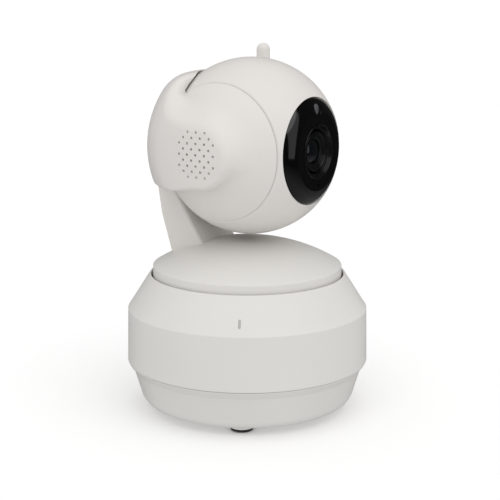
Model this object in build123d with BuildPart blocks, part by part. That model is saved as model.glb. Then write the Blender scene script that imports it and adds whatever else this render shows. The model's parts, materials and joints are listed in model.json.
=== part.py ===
"""Pan and tilt baby monitor camera: a round base, a domed turntable, a yoke and a ball shaped head.

Frame: +Z up, origin on the floor under the pan axis, the lens looks along -Y.
The base is modelled with its own front on -Y and is then turned by BASE_TURN, its place under
the turntable when the pan joint is at zero. Lengths are millimetres, angles are degrees.
"""
from build123d import *
import math
import os

# ---------------------------------------------------------------- driving dimensions
BASE_TURN = -60.0            # the base's front, about +Z, from the lens's direction
WALL = 2.0                   # thickness of the moulded shells
FIT = 0.05                   # running clearance of a shaft, on the radius

# base: radius and height of each corner of its outline
BOTTOM_Z = 2.4
BOWL_FOOT_R = 37.2
BOWL_TOP = (40.94, 14.8)
BAND_BOTTOM = (43.0, 17.6)
BAND_TOP = (42.63, 36.7)
LEDGE = (41.52, 38.3)
RIM = (34.77, 48.96)
RIM_BORE_R = 34.3

# feet and the columns above them
FEET = 4
FOOT_RING_R = 28.6
PAD_R = 3.9
BOSS_Z = 1.1                 # underside of the foot bosses, top of the rubber pads
BOSS_R = 4.4
COLUMN_R = 3.4
COLUMN_SPLIT_Z = 13.0
TAB_RING_R = 34.6            # the upper shell's screw tabs
COVER_RING_R, GEAR_RING_R, EAR_RING_R = 24.0, 13.6, 17.0   # the screws of each of these
PILOT_R = 1.0                # hole that a thread forming screw cuts into

# main board and what stands on it
BOARD_Z, BOARD_T, BOARD_R = 18.0, 1.4, 38.0
BOARD_TOP = BOARD_Z + BOARD_T
BOARD_POST_RING = 21.5
POWER_ANGLE, CARD_ANGLE, BUTTON_ANGLE = 0.0, -30.0, 26.0   # from the base's rear, +Y
USB_W, USB_H, USB_DEPTH, USB_FACE_R = 7.6, 2.9, 5.6, 42.2
CARD_W, CARD_H, CARD_DEPTH, CARD_FACE_R = 14.5, 1.7, 15.0, 40.1
BUTTON_R, BUTTON_TRAVEL, BUTTON_Z = 2.4, 0.6, 23.0

# pan drive
CHASSIS_Z, CHASSIS_T, CHASSIS_R = 33.0, 2.0, 38.6
HUB_R, HUB_TOP = 12.0, 39.6
SPINDLE_R, SPINDLE_BORE_R = 7.5, 5.5
PLATE_Z, PLATE_T, PLATE_R = 43.5, 2.0, 31.3
PRESSURE_ANGLE = 20.0
GEAR_MODULE, GEAR_TEETH, PINION_TEETH = 0.6, 60, 14
GEAR_CENTRES = GEAR_MODULE * (GEAR_TEETH + PINION_TEETH) / 2
GEAR_H = 3.5
PAN_MOTOR_ANGLE = 45.0       # the pan motor's direction from +X, in the base's own frame
PAN_MOTOR_R, PAN_MOTOR_H = 10.0, 11.5
MOTOR_SHAFT_R = 1.25

# turntable
SKIRT_R = 33.55
SKIRT_Z = 44.0
DOME_EDGE_Z = 51.94
DOME_H = 9.45
DOME_BALL_R = (SKIRT_R ** 2 + DOME_H ** 2) / (2 * DOME_H)   # sphere that the dome is a cap of
DOME_CENTRE_Z = DOME_EDGE_Z + DOME_H - DOME_BALL_R

# ball, head and yoke; u is forward and v is up from the ball's centre
BALL = Vector(0, -1.7, 94.4)
BALL_R = 30.8
HEAD_HALF = 19.7             # half width of the tilting slice of the ball
HEAD_SPLIT = -17.5           # u of the joint between the front and rear head shells
CAP_X = 20.1                 # inner edge of the yoke's side caps
YOKE_R = 36.3
YOKE_CLEAR_R = 31.6          # hollow that the ball turns in
POD_FACE = 33.8              # the pods' flat faces, from the middle
NOSE_R = 11.9
NOSE = (0.4, 0.3)
HOOD_TOP, HOOD_TOP_R = 25.8, 14.0      # height of the hood's top and the radius it is rounded with
HOOD_BOTTOM, HOOD_BACK = -12.8, -45.0
BRIM = (-9.0, 24.9)          # front corner of the hood's top
HOOD_WAIST = (-13.6, 20.2)   # furthest back point of the hood's front edge
NECK_HALF = 10.5
NECK_SIDE = [(-34.6, -12.0), (-28.0, -40.0), (-12.2, -40.0), (-13.3, -36.1), (-28.8, -12.0)]
NECK_ROOM = [(-32.2, -14.0), (-25.6, -40.0), (-14.8, -40.0), (-15.4, -36.5), (-29.2, -14.0)]
EAR_BACK = 21.9              # outer side of the bearing plates, from the middle
EAR_END = 32.0               # inside of the pods' faces
EAR_R = 10.1
BEARING_PLATE_R = 19.9
TRUNNION_R = 4.5

# face and lens: radius from the lens axis and distance along it from the ball's centre
FACE_HOLE_R = 18.3
FACE_R = 18.15
FACE_SEAT = 24.0
FACE_FRONT = 27.3
FACE_FLAT_R = 13.4
LENS_HOLE_R = 9.4
LENS_RING_R = 7.3
BARREL_R = 6.9
GLASS_R = 4.3
WINDOW_V, WINDOW_R = 14.2, 2.05   # window of the light sensor
IR_BOARD_L = 20.5
IMAGE_BOARD_L, BRACKET_L = 6.0, 4.0

# antenna
ANTENNA_X, ANTENNA_Y, ANTENNA_HINGE_Z = 35.2, 16.3, 84.4
ANTENNA_R, ANTENNA_TOP = 2.5, 127.4
KNUCKLE_R = 3.6
HINGE_FACE = 32.45           # outer end of the yoke's hinge boss

# planes
lens_plane = Plane(BALL, x_dir=(1, 0, 0), z_dir=(0, -1, 0))        # z along the lens
turning_plane = Plane(BALL, x_dir=(1, 0, 0), z_dir=(0, 0, -1))     # x is radius, y along the lens
side_plane = Plane(BALL, x_dir=(0, -1, 0), z_dir=(-1, 0, 0))       # x is u, y is v, z outwards on -X
hinge_plane = Plane((0, ANTENNA_Y, ANTENNA_HINGE_Z), x_dir=(0, 1, 0), z_dir=(1, 0, 0))
ear_turning_plane = Plane(BALL, x_dir=(0, 0, 1), z_dir=(0, -1, 0))  # x is radius, y along -X
lens_axis = Axis(BALL, (0, -1, 0))
tilt_axis = Axis(BALL, (-1, 0, 0))


# ---------------------------------------------------------------- helpers
def port_plane(angle, height):
    """A plane through the pan axis facing outwards, at an angle from the base's rear."""
    turn = math.radians(angle)
    outwards = (-math.sin(turn), math.cos(turn), 0)
    sideways = (-math.cos(turn), -math.sin(turn), 0)
    return Plane((0, 0, height), x_dir=sideways, z_dir=outwards)


def ear_plane(side, distance):
    """A plane square to the tilt axis at a distance from the middle, z outwards; side is -1 or 1."""
    return Plane(BALL + Vector(side * distance, 0, 0), x_dir=(0, side, 0), z_dir=(side, 0, 0))


def ball_slice(radius, low, high):
    """A ball round BALL, turned about the tilt axis, between two planes square to that axis."""
    def across(x):
        return math.sqrt(max(0.0, radius ** 2 - x ** 2))

    middle = (low + high) / 2
    with BuildPart() as piece:
        with BuildSketch(Plane(BALL)):
            with BuildLine():
                Line((low, 0), (low, across(low)))
                ThreePointArc((low, across(low)), (middle, across(middle)), (high, across(high)))
                Line((high, across(high)), (high, 0))
                Line((high, 0), (low, 0))
            make_face()
        revolve(axis=tilt_axis)
    return piece.part


def dome_radius(rim_r, height):
    """Radius of the sphere whose cap has this rim and height."""
    return (rim_r ** 2 + height ** 2) / (2 * height)


def circle_edges(part, radius):
    """The circular edges of one radius."""
    return [edge for edge in part.edges().filter_by(GeomType.CIRCLE) if abs(edge.radius - radius) < 0.01]


def save(part, name):
    """Labels a finished piece and writes its STEP file."""
    part.label = name
    export_step(part, f"parts/{name}.step")


def save_base(part, name):
    """Saves a piece of the base, turned to its place under the turntable."""
    save(part.rotate(Axis.Z, BASE_TURN), name)


def pan_screw(head_r, head_h, shank_r, length):
    """A pan head screw along +Z: the head's seat is at z 0 and the shank goes up."""
    with BuildPart() as piece:
        with BuildSketch(Plane.XY.offset(-head_h)):
            Circle(head_r)
        extrude(amount=head_h)
        fillet(piece.edges().group_by(Axis.Z)[0], head_h * 0.35)
        with BuildSketch(Plane.XY.offset(-head_h)):
            Rectangle(head_r * 1.1, head_r * 0.28)
            Rectangle(head_r * 0.28, head_r * 1.1)
        extrude(amount=head_h * 0.5, mode=Mode.SUBTRACT)
        with BuildSketch(Plane.XY):
            Circle(shank_r)
        extrude(amount=length)
        chamfer(piece.edges().group_by(Axis.Z)[-1], shank_r * 0.4)
    return piece.part


def sunk_screw(head_r, head_h, shank_r, length):
    """A countersunk screw along +Z, its flat head's outside at z 0."""
    with BuildPart() as piece:
        with BuildSketch(Plane.XZ):
            with BuildLine():
                Polyline((0, 0), (head_r, 0), (shank_r, head_h), (shank_r, length), (0, length), close=True)
            make_face()
        revolve(axis=Axis.Z)
        with BuildSketch(Plane.XY):
            Rectangle(head_r * 1.1, head_r * 0.28)
            Rectangle(head_r * 0.28, head_r * 1.1)
        extrude(amount=head_h * 0.5, mode=Mode.SUBTRACT)
    return piece.part


def gear(module, teeth, bore_r, height, thinning=0.05):
    """A spur gear on XY with involute flanks and stub teeth, one tooth centred on +X."""
    pitch_r = module * teeth / 2
    base_r = pitch_r * math.cos(math.radians(PRESSURE_ANGLE))
    tip_r = pitch_r + 0.8 * module
    root_r = pitch_r - 1.05 * module
    start_r = max(base_r, root_r)
    flank_radii = [start_r + (tip_r - start_r) * step / 3 for step in range(4)]
    pressure = math.radians(PRESSURE_ANGLE)
    half_base = math.pi / (2 * teeth) - thinning / pitch_r + math.tan(pressure) - pressure

    def half_angle(radius):
        """Half of the tooth's angle at a radius."""
        roll = math.acos(min(1.0, base_r / radius))
        return half_base - (math.tan(roll) - roll)

    def polar(radius, angle):
        return radius * math.cos(angle), radius * math.sin(angle)

    with BuildPart() as piece:
        with BuildSketch(Plane.XY):
            with BuildLine():
                for tooth in range(teeth):
                    middle = 2 * math.pi * tooth / teeth
                    rising = [polar(r, middle - half_angle(r)) for r in flank_radii]
                    falling = [polar(r, middle + half_angle(r)) for r in reversed(flank_radii)]
                    Spline(*rising)
                    ThreePointArc(rising[-1], polar(tip_r, middle), falling[0])
                    Spline(*falling)
                    root_start = middle + half_angle(start_r)
                    root_end = middle + 2 * math.pi / teeth - half_angle(start_r)
                    root_middle = middle + math.pi / teeth
                    if start_r > root_r:
                        Line(falling[-1], polar(root_r, root_start))
                        Line(polar(root_r, root_end), polar(start_r, root_end))
                    ThreePointArc(polar(root_r, root_start), polar(root_r, root_middle),
                                  polar(root_r, root_end))
            make_face()
            Circle(bore_r, mode=Mode.SUBTRACT)
        extrude(amount=height)
    return piece.part


os.makedirs("parts", exist_ok=True)

# ================================================================ BASE, front on -Y
def foot_spots():
    return PolarLocations(FOOT_RING_R, FEET, start_angle=-90)


def post_spots():
    return PolarLocations(BOARD_POST_RING, 3, start_angle=-20)


def tab_spots():
    return PolarLocations(TAB_RING_R, 3, start_angle=90)


motor_turn = math.radians(PAN_MOTOR_ANGLE)
motor_spot = (GEAR_CENTRES * math.cos(motor_turn), GEAR_CENTRES * math.sin(motor_turn))
SHOULDER_SLOPE = (LEDGE[0] - RIM[0]) / (RIM[1] - LEDGE[1])
SHOULDER_WALL = WALL * math.sqrt(1 + SHOULDER_SLOPE ** 2)
SCREW_R, SCREW_HEAD_R = 1.25, 2.4
SCREW_SEAT_Z = 4.0


def shoulder_r(height):
    """Outer radius of the conical shoulder at a height."""
    return LEDGE[0] - SHOULDER_SLOPE * (height - LEDGE[1])


# ---- lower shell: a shallow bowl with the four foot bosses
BOWL_INNER_R = 35.4
LIP_R, LIP_TOP = 40.8, 19.0
with BuildPart() as base_lower_shell:
    with BuildSketch(Plane.XZ):
        with BuildLine():
            Polyline((0, BOTTOM_Z), (BOWL_FOOT_R, BOTTOM_Z), BOWL_TOP, BAND_BOTTOM,
                     (LIP_R, BAND_BOTTOM[1]), (LIP_R, LIP_TOP), (LIP_R - 1.6, LIP_TOP),
                     (BOWL_TOP[0] - WALL, BOWL_TOP[1]), (BOWL_INNER_R, BOTTOM_Z + WALL),
                     (0, BOTTOM_Z + WALL), close=True)
        make_face()
    revolve(axis=Axis.Z)
    fillet(circle_edges(base_lower_shell, BOWL_FOOT_R), 5)
    fillet(circle_edges(base_lower_shell, BOWL_INNER_R), 3)
    with BuildSketch(Plane.XY.offset(BOSS_Z)):
        with foot_spots():
            Circle(BOSS_R)
    extrude(amount=BOTTOM_Z + WALL - BOSS_Z)
    with BuildSketch(Plane.XY.offset(BOTTOM_Z)):
        with foot_spots():
            Circle(COLUMN_R)
    extrude(amount=COLUMN_SPLIT_Z - BOTTOM_Z)
    with BuildSketch(Plane.XY.offset(BOTTOM_Z)):
        with post_spots():
            Circle(2.8)
    extrude(amount=BOARD_Z - BOTTOM_Z)
    with BuildSketch(Plane.XY.offset(BOSS_Z)):
        with foot_spots():
            Circle(SCREW_HEAD_R + 0.2)
    extrude(amount=SCREW_SEAT_Z - BOSS_Z, mode=Mode.SUBTRACT)
    with BuildSketch(Plane.XY.offset(BOSS_Z)):
        with foot_spots():
            Circle(SCREW_R + 0.1)
    extrude(amount=COLUMN_SPLIT_Z, mode=Mode.SUBTRACT)
    with BuildSketch(Plane.XY.offset(BOARD_Z)):
        with post_spots():
            Circle(0.95)
    extrude(amount=-8, mode=Mode.SUBTRACT)
save_base(base_lower_shell.part, "base_lower_shell")

# ---- rubber pads under the bosses
with BuildPart() as rubber_feet:
    with BuildSketch(Plane.XY):
        with foot_spots():
            Circle(PAD_R)
    extrude(amount=BOSS_Z)
    fillet(rubber_feet.edges().group_by(Axis.Z)[0], 0.4)
save_base(rubber_feet.part, "rubber_feet")

# ---- screws up through the bosses into the chassis columns
with BuildPart() as base_screws:
    with Locations(Location((0, 0, SCREW_SEAT_Z))):
        with foot_spots():
            add(pan_screw(SCREW_HEAD_R, 1.4, SCREW_R, 18))
save_base(base_screws.part, "base_screws")

# ---- steel ballast on the floor of the bowl
WEIGHT_R, WEIGHT_HOLE_R, WEIGHT_H = 17.5, 4.0, 5.0
with BuildPart() as base_weight:
    with BuildSketch(Plane.XY.offset(BOTTOM_Z + WALL)):
        Circle(WEIGHT_R)
        Circle(WEIGHT_HOLE_R, mode=Mode.SUBTRACT)
    extrude(amount=WEIGHT_H)
    chamfer(base_weight.edges().group_by(Axis.Z)[-1], 0.5)
save_base(base_weight.part, "base_weight")

# ---- upper shell: band, ledge and conical shoulder
status_top, status_bottom = 41.9, 39.2      # the slot that the status light shines through
card_z = BOARD_TOP + CARD_H / 2
usb_z = BOARD_TOP + USB_H / 2
TAB_TOP = 42.3
with BuildPart() as base_upper_shell:
    with BuildSketch(Plane.XZ):
        with BuildLine():
            Polyline(BAND_BOTTOM, BAND_TOP, LEDGE, RIM, (RIM_BORE_R, RIM[1]),
                     (RIM_BORE_R, LEDGE[1] + (LEDGE[0] - SHOULDER_WALL - RIM_BORE_R) / SHOULDER_SLOPE),
                     (LEDGE[0] - SHOULDER_WALL, LEDGE[1]), (BAND_TOP[0] - WALL, BAND_TOP[1] - 1),
                     (BAND_BOTTOM[0] - WALL, BAND_BOTTOM[1]), close=True)
        make_face()
    revolve(axis=Axis.Z)
    fillet(circle_edges(base_upper_shell, BAND_TOP[0]), 0.4)
    fillet(circle_edges(base_upper_shell, RIM[0]), 0.35)
    with BuildSketch(Plane.XY.offset(CHASSIS_Z + CHASSIS_T)):
        with tab_spots():
            Circle(2.7)
            with Locations((2, 0)):
                Rectangle(4.2, 2.4)
    extrude(amount=TAB_TOP - CHASSIS_Z - CHASSIS_T)
    with BuildSketch(Plane.XY.offset(CHASSIS_Z + CHASSIS_T)):
        with tab_spots():
            Circle(PILOT_R)
    extrude(amount=6, mode=Mode.SUBTRACT)
    with BuildSketch(port_plane(POWER_ANGLE, usb_z)):
        RectangleRounded(USB_W + 0.6, USB_H + 0.6, 0.8)
    extrude(amount=50, mode=Mode.SUBTRACT)
    with BuildSketch(port_plane(CARD_ANGLE, card_z)):
        RectangleRounded(12.4, CARD_H, 0.4)
    extrude(amount=50, mode=Mode.SUBTRACT)
    with BuildSketch(port_plane(BUTTON_ANGLE, BUTTON_Z)):
        Circle(BUTTON_R + 0.15)
    extrude(amount=50, mode=Mode.SUBTRACT)
    with BuildSketch(Plane((0, 0, (status_top + status_bottom) / 2), x_dir=(1, 0, 0), z_dir=(0, -1, 0))):
        RectangleRounded(0.9, status_top - status_bottom, 0.4)
    extrude(amount=50, mode=Mode.SUBTRACT)
save_base(base_upper_shell.part, "base_upper_shell")

# ---- light pipe from the board's LED up to the slot in the shoulder
PIPE_Y, PIPE_HALF, PIPE_Z = -35.6, 0.8, 21.4
with BuildPart() as status_light_pipe:
    with BuildSketch(Plane.YZ):
        with BuildLine():
            Polyline((PIPE_Y - PIPE_HALF, PIPE_Z), (PIPE_Y + PIPE_HALF, PIPE_Z),
                     (PIPE_Y + PIPE_HALF, status_top - 0.1),
                     (-shoulder_r(status_top - 0.1), status_top - 0.1),
                     (-shoulder_r(status_bottom + 0.1), status_bottom + 0.1),
                     (PIPE_Y - PIPE_HALF, status_bottom + 0.1), close=True)
        make_face()
    extrude(amount=0.35, both=True)
save_base(status_light_pipe.part, "status_light_pipe")

# ---- main board, with holes for the columns
with BuildPart() as main_board:
    with BuildSketch(Plane.XY.offset(BOARD_Z)):
        Circle(BOARD_R)
        with foot_spots():
            Circle(COLUMN_R + 0.5, mode=Mode.SUBTRACT)
        with post_spots():
            Circle(1.2, mode=Mode.SUBTRACT)
    extrude(amount=BOARD_T)
save_base(main_board.part, "main_board")

with BuildPart() as processor_shield:
    with BuildSketch(Plane.XY.offset(BOARD_TOP)):
        with Locations((-4, -8.5)):
            RectangleRounded(20, 17, 1)
    extrude(amount=2.4)
    fillet(processor_shield.edges().group_by(Axis.Z)[-1], 0.5)
save_base(processor_shield.part, "processor_shield")

with BuildPart() as wireless_module:
    with BuildSketch(Plane.XY.offset(BOARD_TOP)):
        with Locations((-12, 10)):
            Rectangle(15, 12)
    extrude(amount=0.9)
    with BuildSketch(Plane.XY.offset(BOARD_TOP + 0.9)):
        with Locations((-14, 10)):
            RectangleRounded(10, 10.5, 0.6)
    extrude(amount=1.6)
save_base(wireless_module.part, "wireless_module")

with BuildPart() as board_capacitors:
    with BuildSketch(Plane.XY.offset(BOARD_TOP)):
        with Locations((8, -24), (15.5, -20), (-24, -16)):
            Circle(3.1)
    extrude(amount=8)
    fillet(board_capacitors.edges().group_by(Axis.Z)[-1], 0.5)
save_base(board_capacitors.part, "board_capacitors")

with BuildPart() as board_connectors:
    with BuildSketch(Plane.XY.offset(BOARD_TOP)):
        with Locations((12, -8), (12, -13)):
            Rectangle(9, 4)
    extrude(amount=5)
    with BuildSketch(Plane.XY.offset(BOARD_TOP + 5)):
        with Locations((12, -8), (12, -13)):
            Rectangle(7.6, 2.6)
    extrude(amount=-3.6, mode=Mode.SUBTRACT)
save_base(board_connectors.part, "board_connectors")

with BuildPart() as status_led:
    with BuildSketch(Plane.XY.offset(BOARD_TOP)):
        with Locations((0, PIPE_Y)):
            Rectangle(2.4, 2.0)
    extrude(amount=1.6)
save_base(status_led.part, "status_led")

# ---- power inlet: a micro USB receptacle with its tongue
with BuildPart() as power_socket:
    with BuildSketch(port_plane(POWER_ANGLE, usb_z).offset(USB_FACE_R)):
        RectangleRounded(USB_W, USB_H, 0.7)
    extrude(amount=-USB_DEPTH)
    with BuildSketch(port_plane(POWER_ANGLE, usb_z).offset(USB_FACE_R)):
        RectangleRounded(USB_W - 0.7, USB_H - 0.7, 0.5)
    extrude(amount=-(USB_DEPTH - 0.7), mode=Mode.SUBTRACT)
    with BuildSketch(port_plane(POWER_ANGLE, usb_z).offset(USB_FACE_R - USB_DEPTH)):
        Rectangle(4.4, 0.7)
    extrude(amount=USB_DEPTH - 0.8)
save_base(power_socket.part, "power_socket")

# ---- memory card reader, its slot facing the shell's opening
with BuildPart() as card_reader:
    with BuildSketch(port_plane(CARD_ANGLE, card_z).offset(CARD_FACE_R)):
        Rectangle(CARD_W, CARD_H)
    extrude(amount=-CARD_DEPTH)
    with BuildSketch(port_plane(CARD_ANGLE, card_z).offset(CARD_FACE_R)):
        Rectangle(11.4, 1.1)
    extrude(amount=-(CARD_DEPTH - 1.2), mode=Mode.SUBTRACT)
save_base(card_reader.part, "card_reader")

# ---- pairing button and the tact switch behind it
button_plane = port_plane(BUTTON_ANGLE, BUTTON_Z)
FLANGE_BACK, FLANGE_FRONT, CAP_END, STEM_END = 39.3, 40.3, 43.1, 38.3
STEM_R = 1.0
with BuildPart() as pairing_button:
    with BuildSketch(button_plane.offset(FLANGE_BACK)):
        Circle(BUTTON_R + 0.7)
    extrude(amount=FLANGE_FRONT - FLANGE_BACK)
    with BuildSketch(button_plane.offset(FLANGE_FRONT)):
        Circle(BUTTON_R)
    extrude(amount=CAP_END - FLANGE_FRONT)
    fillet(pairing_button.edges().group_by(Axis((0, 0, 0), button_plane.z_dir))[-1], 0.4)
    with BuildSketch(button_plane.offset(FLANGE_BACK)):
        Circle(STEM_R)
    extrude(amount=STEM_END - FLANGE_BACK)
save_base(pairing_button.part, "pairing_button")

SWITCH_FACE = STEM_END - BUTTON_TRAVEL - 0.05
with BuildPart() as pairing_switch:
    with BuildSketch(button_plane.offset(SWITCH_FACE - 0.6)):
        with Locations((0, (BOARD_TOP - BUTTON_Z) / 2 + 1.5)):
            Rectangle(6, BUTTON_Z - BOARD_TOP + 3)
    extrude(amount=-3.4)
    with BuildSketch(button_plane.offset(SWITCH_FACE - 0.6)):
        Circle(1.6)
    extrude(amount=0.6)
save_base(pairing_switch.part, "pairing_switch")

# ---- chassis: carries the pan motor and the turntable's bearing
with BuildPart() as pan_chassis:
    with BuildSketch(Plane.XY.offset(CHASSIS_Z)):
        Circle(CHASSIS_R)
    extrude(amount=CHASSIS_T)
    with BuildSketch(Plane.XY.offset(CHASSIS_Z + CHASSIS_T)):
        Circle(HUB_R)
    extrude(amount=HUB_TOP - CHASSIS_Z - CHASSIS_T)
    with BuildSketch(Plane.XY.offset(COLUMN_SPLIT_Z)):
        with foot_spots():
            Circle(COLUMN_R)
    extrude(amount=CHASSIS_Z - COLUMN_SPLIT_Z)
    with BuildSketch(Plane.XY.offset(COLUMN_SPLIT_Z)):
        with foot_spots():
            Circle(SCREW_R)
    extrude(amount=12, mode=Mode.SUBTRACT)
    with BuildSketch(Plane.XY.offset(CHASSIS_Z)):
        Circle(SPINDLE_R + FIT)
        with Locations(motor_spot):
            Circle(4.7)
        with Locations((0, PIPE_Y)):
            Rectangle(2.4, 3.4)
        with tab_spots():
            Circle(1.3)
        with Locations(motor_spot):
            with Locations((-13, 0), (13, 0)):
                Circle(PILOT_R)
    extrude(amount=10, mode=Mode.SUBTRACT)
save_base(pan_chassis.part, "pan_chassis")

with BuildPart() as thrust_washer:
    with BuildSketch(Plane.XY.offset(HUB_TOP)):
        Circle(HUB_R - 0.2)
        Circle(SPINDLE_R + 0.2, mode=Mode.SUBTRACT)
    extrude(amount=0.35)
save_base(thrust_washer.part, "thrust_washer")

# ---- pan motor: a can stepper with two ears under the chassis
with BuildPart() as pan_motor:
    with BuildSketch(Plane.XY.offset(CHASSIS_Z - PAN_MOTOR_H)):
        with Locations(motor_spot):
            Circle(PAN_MOTOR_R)
    extrude(amount=PAN_MOTOR_H)
    fillet(pan_motor.edges().group_by(Axis.Z)[0], 1)
    with BuildSketch(Plane.XY.offset(CHASSIS_Z - 0.9)):
        with Locations(motor_spot):
            SlotCenterToCenter(26, 6)
            with Locations((-13, 0), (13, 0)):
                Circle(1.1, mode=Mode.SUBTRACT)
    extrude(amount=0.9)
    with BuildSketch(Plane.XY.offset(CHASSIS_Z)):
        with Locations(motor_spot):
            Circle(4.5)
    extrude(amount=1.6)
    with BuildSketch(Plane.XY.offset(CHASSIS_Z + 1.6)):
        with Locations(motor_spot):
            Circle(MOTOR_SHAFT_R + FIT)
    extrude(amount=-5, mode=Mode.SUBTRACT)
    with BuildSketch(Plane.XY.offset(CHASSIS_Z - PAN_MOTOR_H + 2)):
        with Locations(motor_spot):
            with Locations((0, -PAN_MOTOR_R - 1)):
                RectangleRounded(9, 4, 0.6)
    extrude(amount=5)
save_base(pan_motor.part, "pan_motor")

# ---- pan head screws of the board, the chassis and the motor's ears, all of one size
SMALL_SCREW = (2.0, 1.2, 0.95, 4.5)      # head radius and height, shank radius and length
with BuildPart() as inner_screws:
    with Locations(Location((0, 0, BOARD_TOP), (180, 0, 0))):
        with PolarLocations(BOARD_POST_RING, 3, start_angle=20):
            add(pan_screw(*SMALL_SCREW))
    with Locations(Location((0, 0, CHASSIS_Z))):
        with tab_spots():
            add(pan_screw(*SMALL_SCREW))
    with Locations(Location((motor_spot[0], motor_spot[1], CHASSIS_Z - 0.9))):
        with Locations((-13, 0), (13, 0)):
            add(pan_screw(*SMALL_SCREW))
save_base(inner_screws.part, "inner_screws")

# ---- motor shaft and pinion, which turn together
PINION_Z = 40.2
with BuildPart() as pan_motor_shaft:
    with BuildSketch(Plane.XY.offset(CHASSIS_Z - 3.2)):
        with Locations(motor_spot):
            Circle(MOTOR_SHAFT_R)
    extrude(amount=PINION_Z + 3 - CHASSIS_Z + 3.2)
save_base(pan_motor_shaft.part, "pan_motor_shaft")

with BuildPart() as pan_pinion:
    with Locations(Location((motor_spot[0], motor_spot[1], PINION_Z),
                            (0, 0, PAN_MOTOR_ANGLE + 180 + 180 / PINION_TEETH))):
        add(gear(GEAR_MODULE, PINION_TEETH, MOTOR_SHAFT_R, 3.0))
save_base(pan_pinion.part, "pan_pinion")

# ================================================================ TURNTABLE
def cover_spots():
    return PolarLocations(COVER_RING_R, 4, start_angle=45)


def gear_spots():
    return PolarLocations(GEAR_RING_R, 3)


def bracket_spots():
    return GridLocations(12, 6, 2, 1)


# ---- the gear is in mesh with the pinion at rest, so it shares the base's turn
with BuildPart() as pan_gear:
    with Locations(Location((0, 0, PLATE_Z - GEAR_H), (0, 0, PAN_MOTOR_ANGLE + BASE_TURN))):
        add(gear(GEAR_MODULE, GEAR_TEETH, SPINDLE_R, GEAR_H))
    with BuildSketch(Plane.XY.offset(PLATE_Z - GEAR_H)):
        with gear_spots():
            Circle(0.8)
    extrude(amount=GEAR_H, mode=Mode.SUBTRACT)
    with gear_spots():
        with Locations((0, 0, PLATE_Z - GEAR_H + 0.5)):
            Cone(1.75, 0.8, 1.0, mode=Mode.SUBTRACT)
save(pan_gear.part, "pan_gear")

BRACKET_FOOT_Y = 16.2
CLIP_Z, CLIP_T = CHASSIS_Z - 0.95, 0.8
with BuildPart() as turntable_plate:
    with BuildSketch(Plane.XY.offset(PLATE_Z)):
        Circle(PLATE_R)
    extrude(amount=PLATE_T)
    with BuildSketch(Plane.XY.offset(CHASSIS_Z - 2.2)):
        Circle(SPINDLE_R)
    extrude(amount=PLATE_Z - CHASSIS_Z + 2.2)
    with BuildSketch(Plane.XY.offset(CLIP_Z)):
        Circle(SPINDLE_R)
        Circle(SPINDLE_R - 0.7, mode=Mode.SUBTRACT)
    extrude(amount=CLIP_T, mode=Mode.SUBTRACT)
    with BuildSketch(Plane.XY):
        Circle(SPINDLE_BORE_R)
    extrude(amount=60, mode=Mode.SUBTRACT)
    with BuildSketch(Plane.XY.offset(PLATE_Z)):
        with cover_spots():
            Circle(PILOT_R)
        with Locations((0, BRACKET_FOOT_Y)):
            with bracket_spots():
                Circle(PILOT_R)
        with gear_spots():
            Circle(0.8)
    extrude(amount=PLATE_T, mode=Mode.SUBTRACT)
    with cover_spots():
        with Locations((0, 0, PLATE_Z + 0.5)):
            Cone(1.75, 0.8, 1.0, mode=Mode.SUBTRACT)
    with Locations((0, BRACKET_FOOT_Y, PLATE_Z + 0.5)):
        with bracket_spots():
            Cone(1.75, 0.8, 1.0, mode=Mode.SUBTRACT)
save(turntable_plate.part, "turntable_plate")

with BuildPart() as spindle_clip:
    with BuildSketch(Plane.XY.offset(CLIP_Z)):
        Circle(SPINDLE_R + 2.4)
        Circle(SPINDLE_R - 0.7, mode=Mode.SUBTRACT)
        with Locations((0, -SPINDLE_R)):
            Rectangle(5, 8, mode=Mode.SUBTRACT)
    extrude(amount=CLIP_T)
save(spindle_clip.part, "spindle_clip")

# ---- domed cover with its skirt, and a hole for the neck's bracket
with BuildPart() as turntable_cover:
    with BuildSketch(Plane.XZ):
        with BuildLine():
            Line((0, DOME_EDGE_Z + DOME_H), (0, SKIRT_Z))
            Line((0, SKIRT_Z), (SKIRT_R, SKIRT_Z))
            Line((SKIRT_R, SKIRT_Z), (SKIRT_R, DOME_EDGE_Z))
            RadiusArc((SKIRT_R, DOME_EDGE_Z), (0, DOME_EDGE_Z + DOME_H), -DOME_BALL_R)
        make_face()
    revolve(axis=Axis.Z)
    with BuildSketch(Plane.XZ):
        with BuildLine():
            inner_edge_z = DOME_CENTRE_Z + math.sqrt((DOME_BALL_R - WALL) ** 2 - (SKIRT_R - WALL) ** 2)
            Line((0, DOME_EDGE_Z + DOME_H - WALL), (0, SKIRT_Z))
            Line((0, SKIRT_Z), (SKIRT_R - WALL, SKIRT_Z))
            Line((SKIRT_R - WALL, SKIRT_Z), (SKIRT_R - WALL, inner_edge_z))
            RadiusArc((SKIRT_R - WALL, inner_edge_z), (0, DOME_EDGE_Z + DOME_H - WALL), -(DOME_BALL_R - WALL))
        make_face()
    revolve(axis=Axis.Z, mode=Mode.SUBTRACT)
    with BuildSketch(Plane.XY.offset(PLATE_Z + PLATE_T)):
        with cover_spots():
            Circle(2.8)
    extrude(amount=9.2)
    with BuildSketch(Plane.XY.offset(PLATE_Z + PLATE_T)):
        with cover_spots():
            Circle(PILOT_R)
    extrude(amount=6, mode=Mode.SUBTRACT)
    with BuildSketch(Plane.XY.offset(PLATE_Z + PLATE_T + 2)):
        with Locations((0, 18.5)):
            Rectangle(15, 9)
    extrude(amount=20, mode=Mode.SUBTRACT)
save(turntable_cover.part, "turntable_cover")

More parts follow.
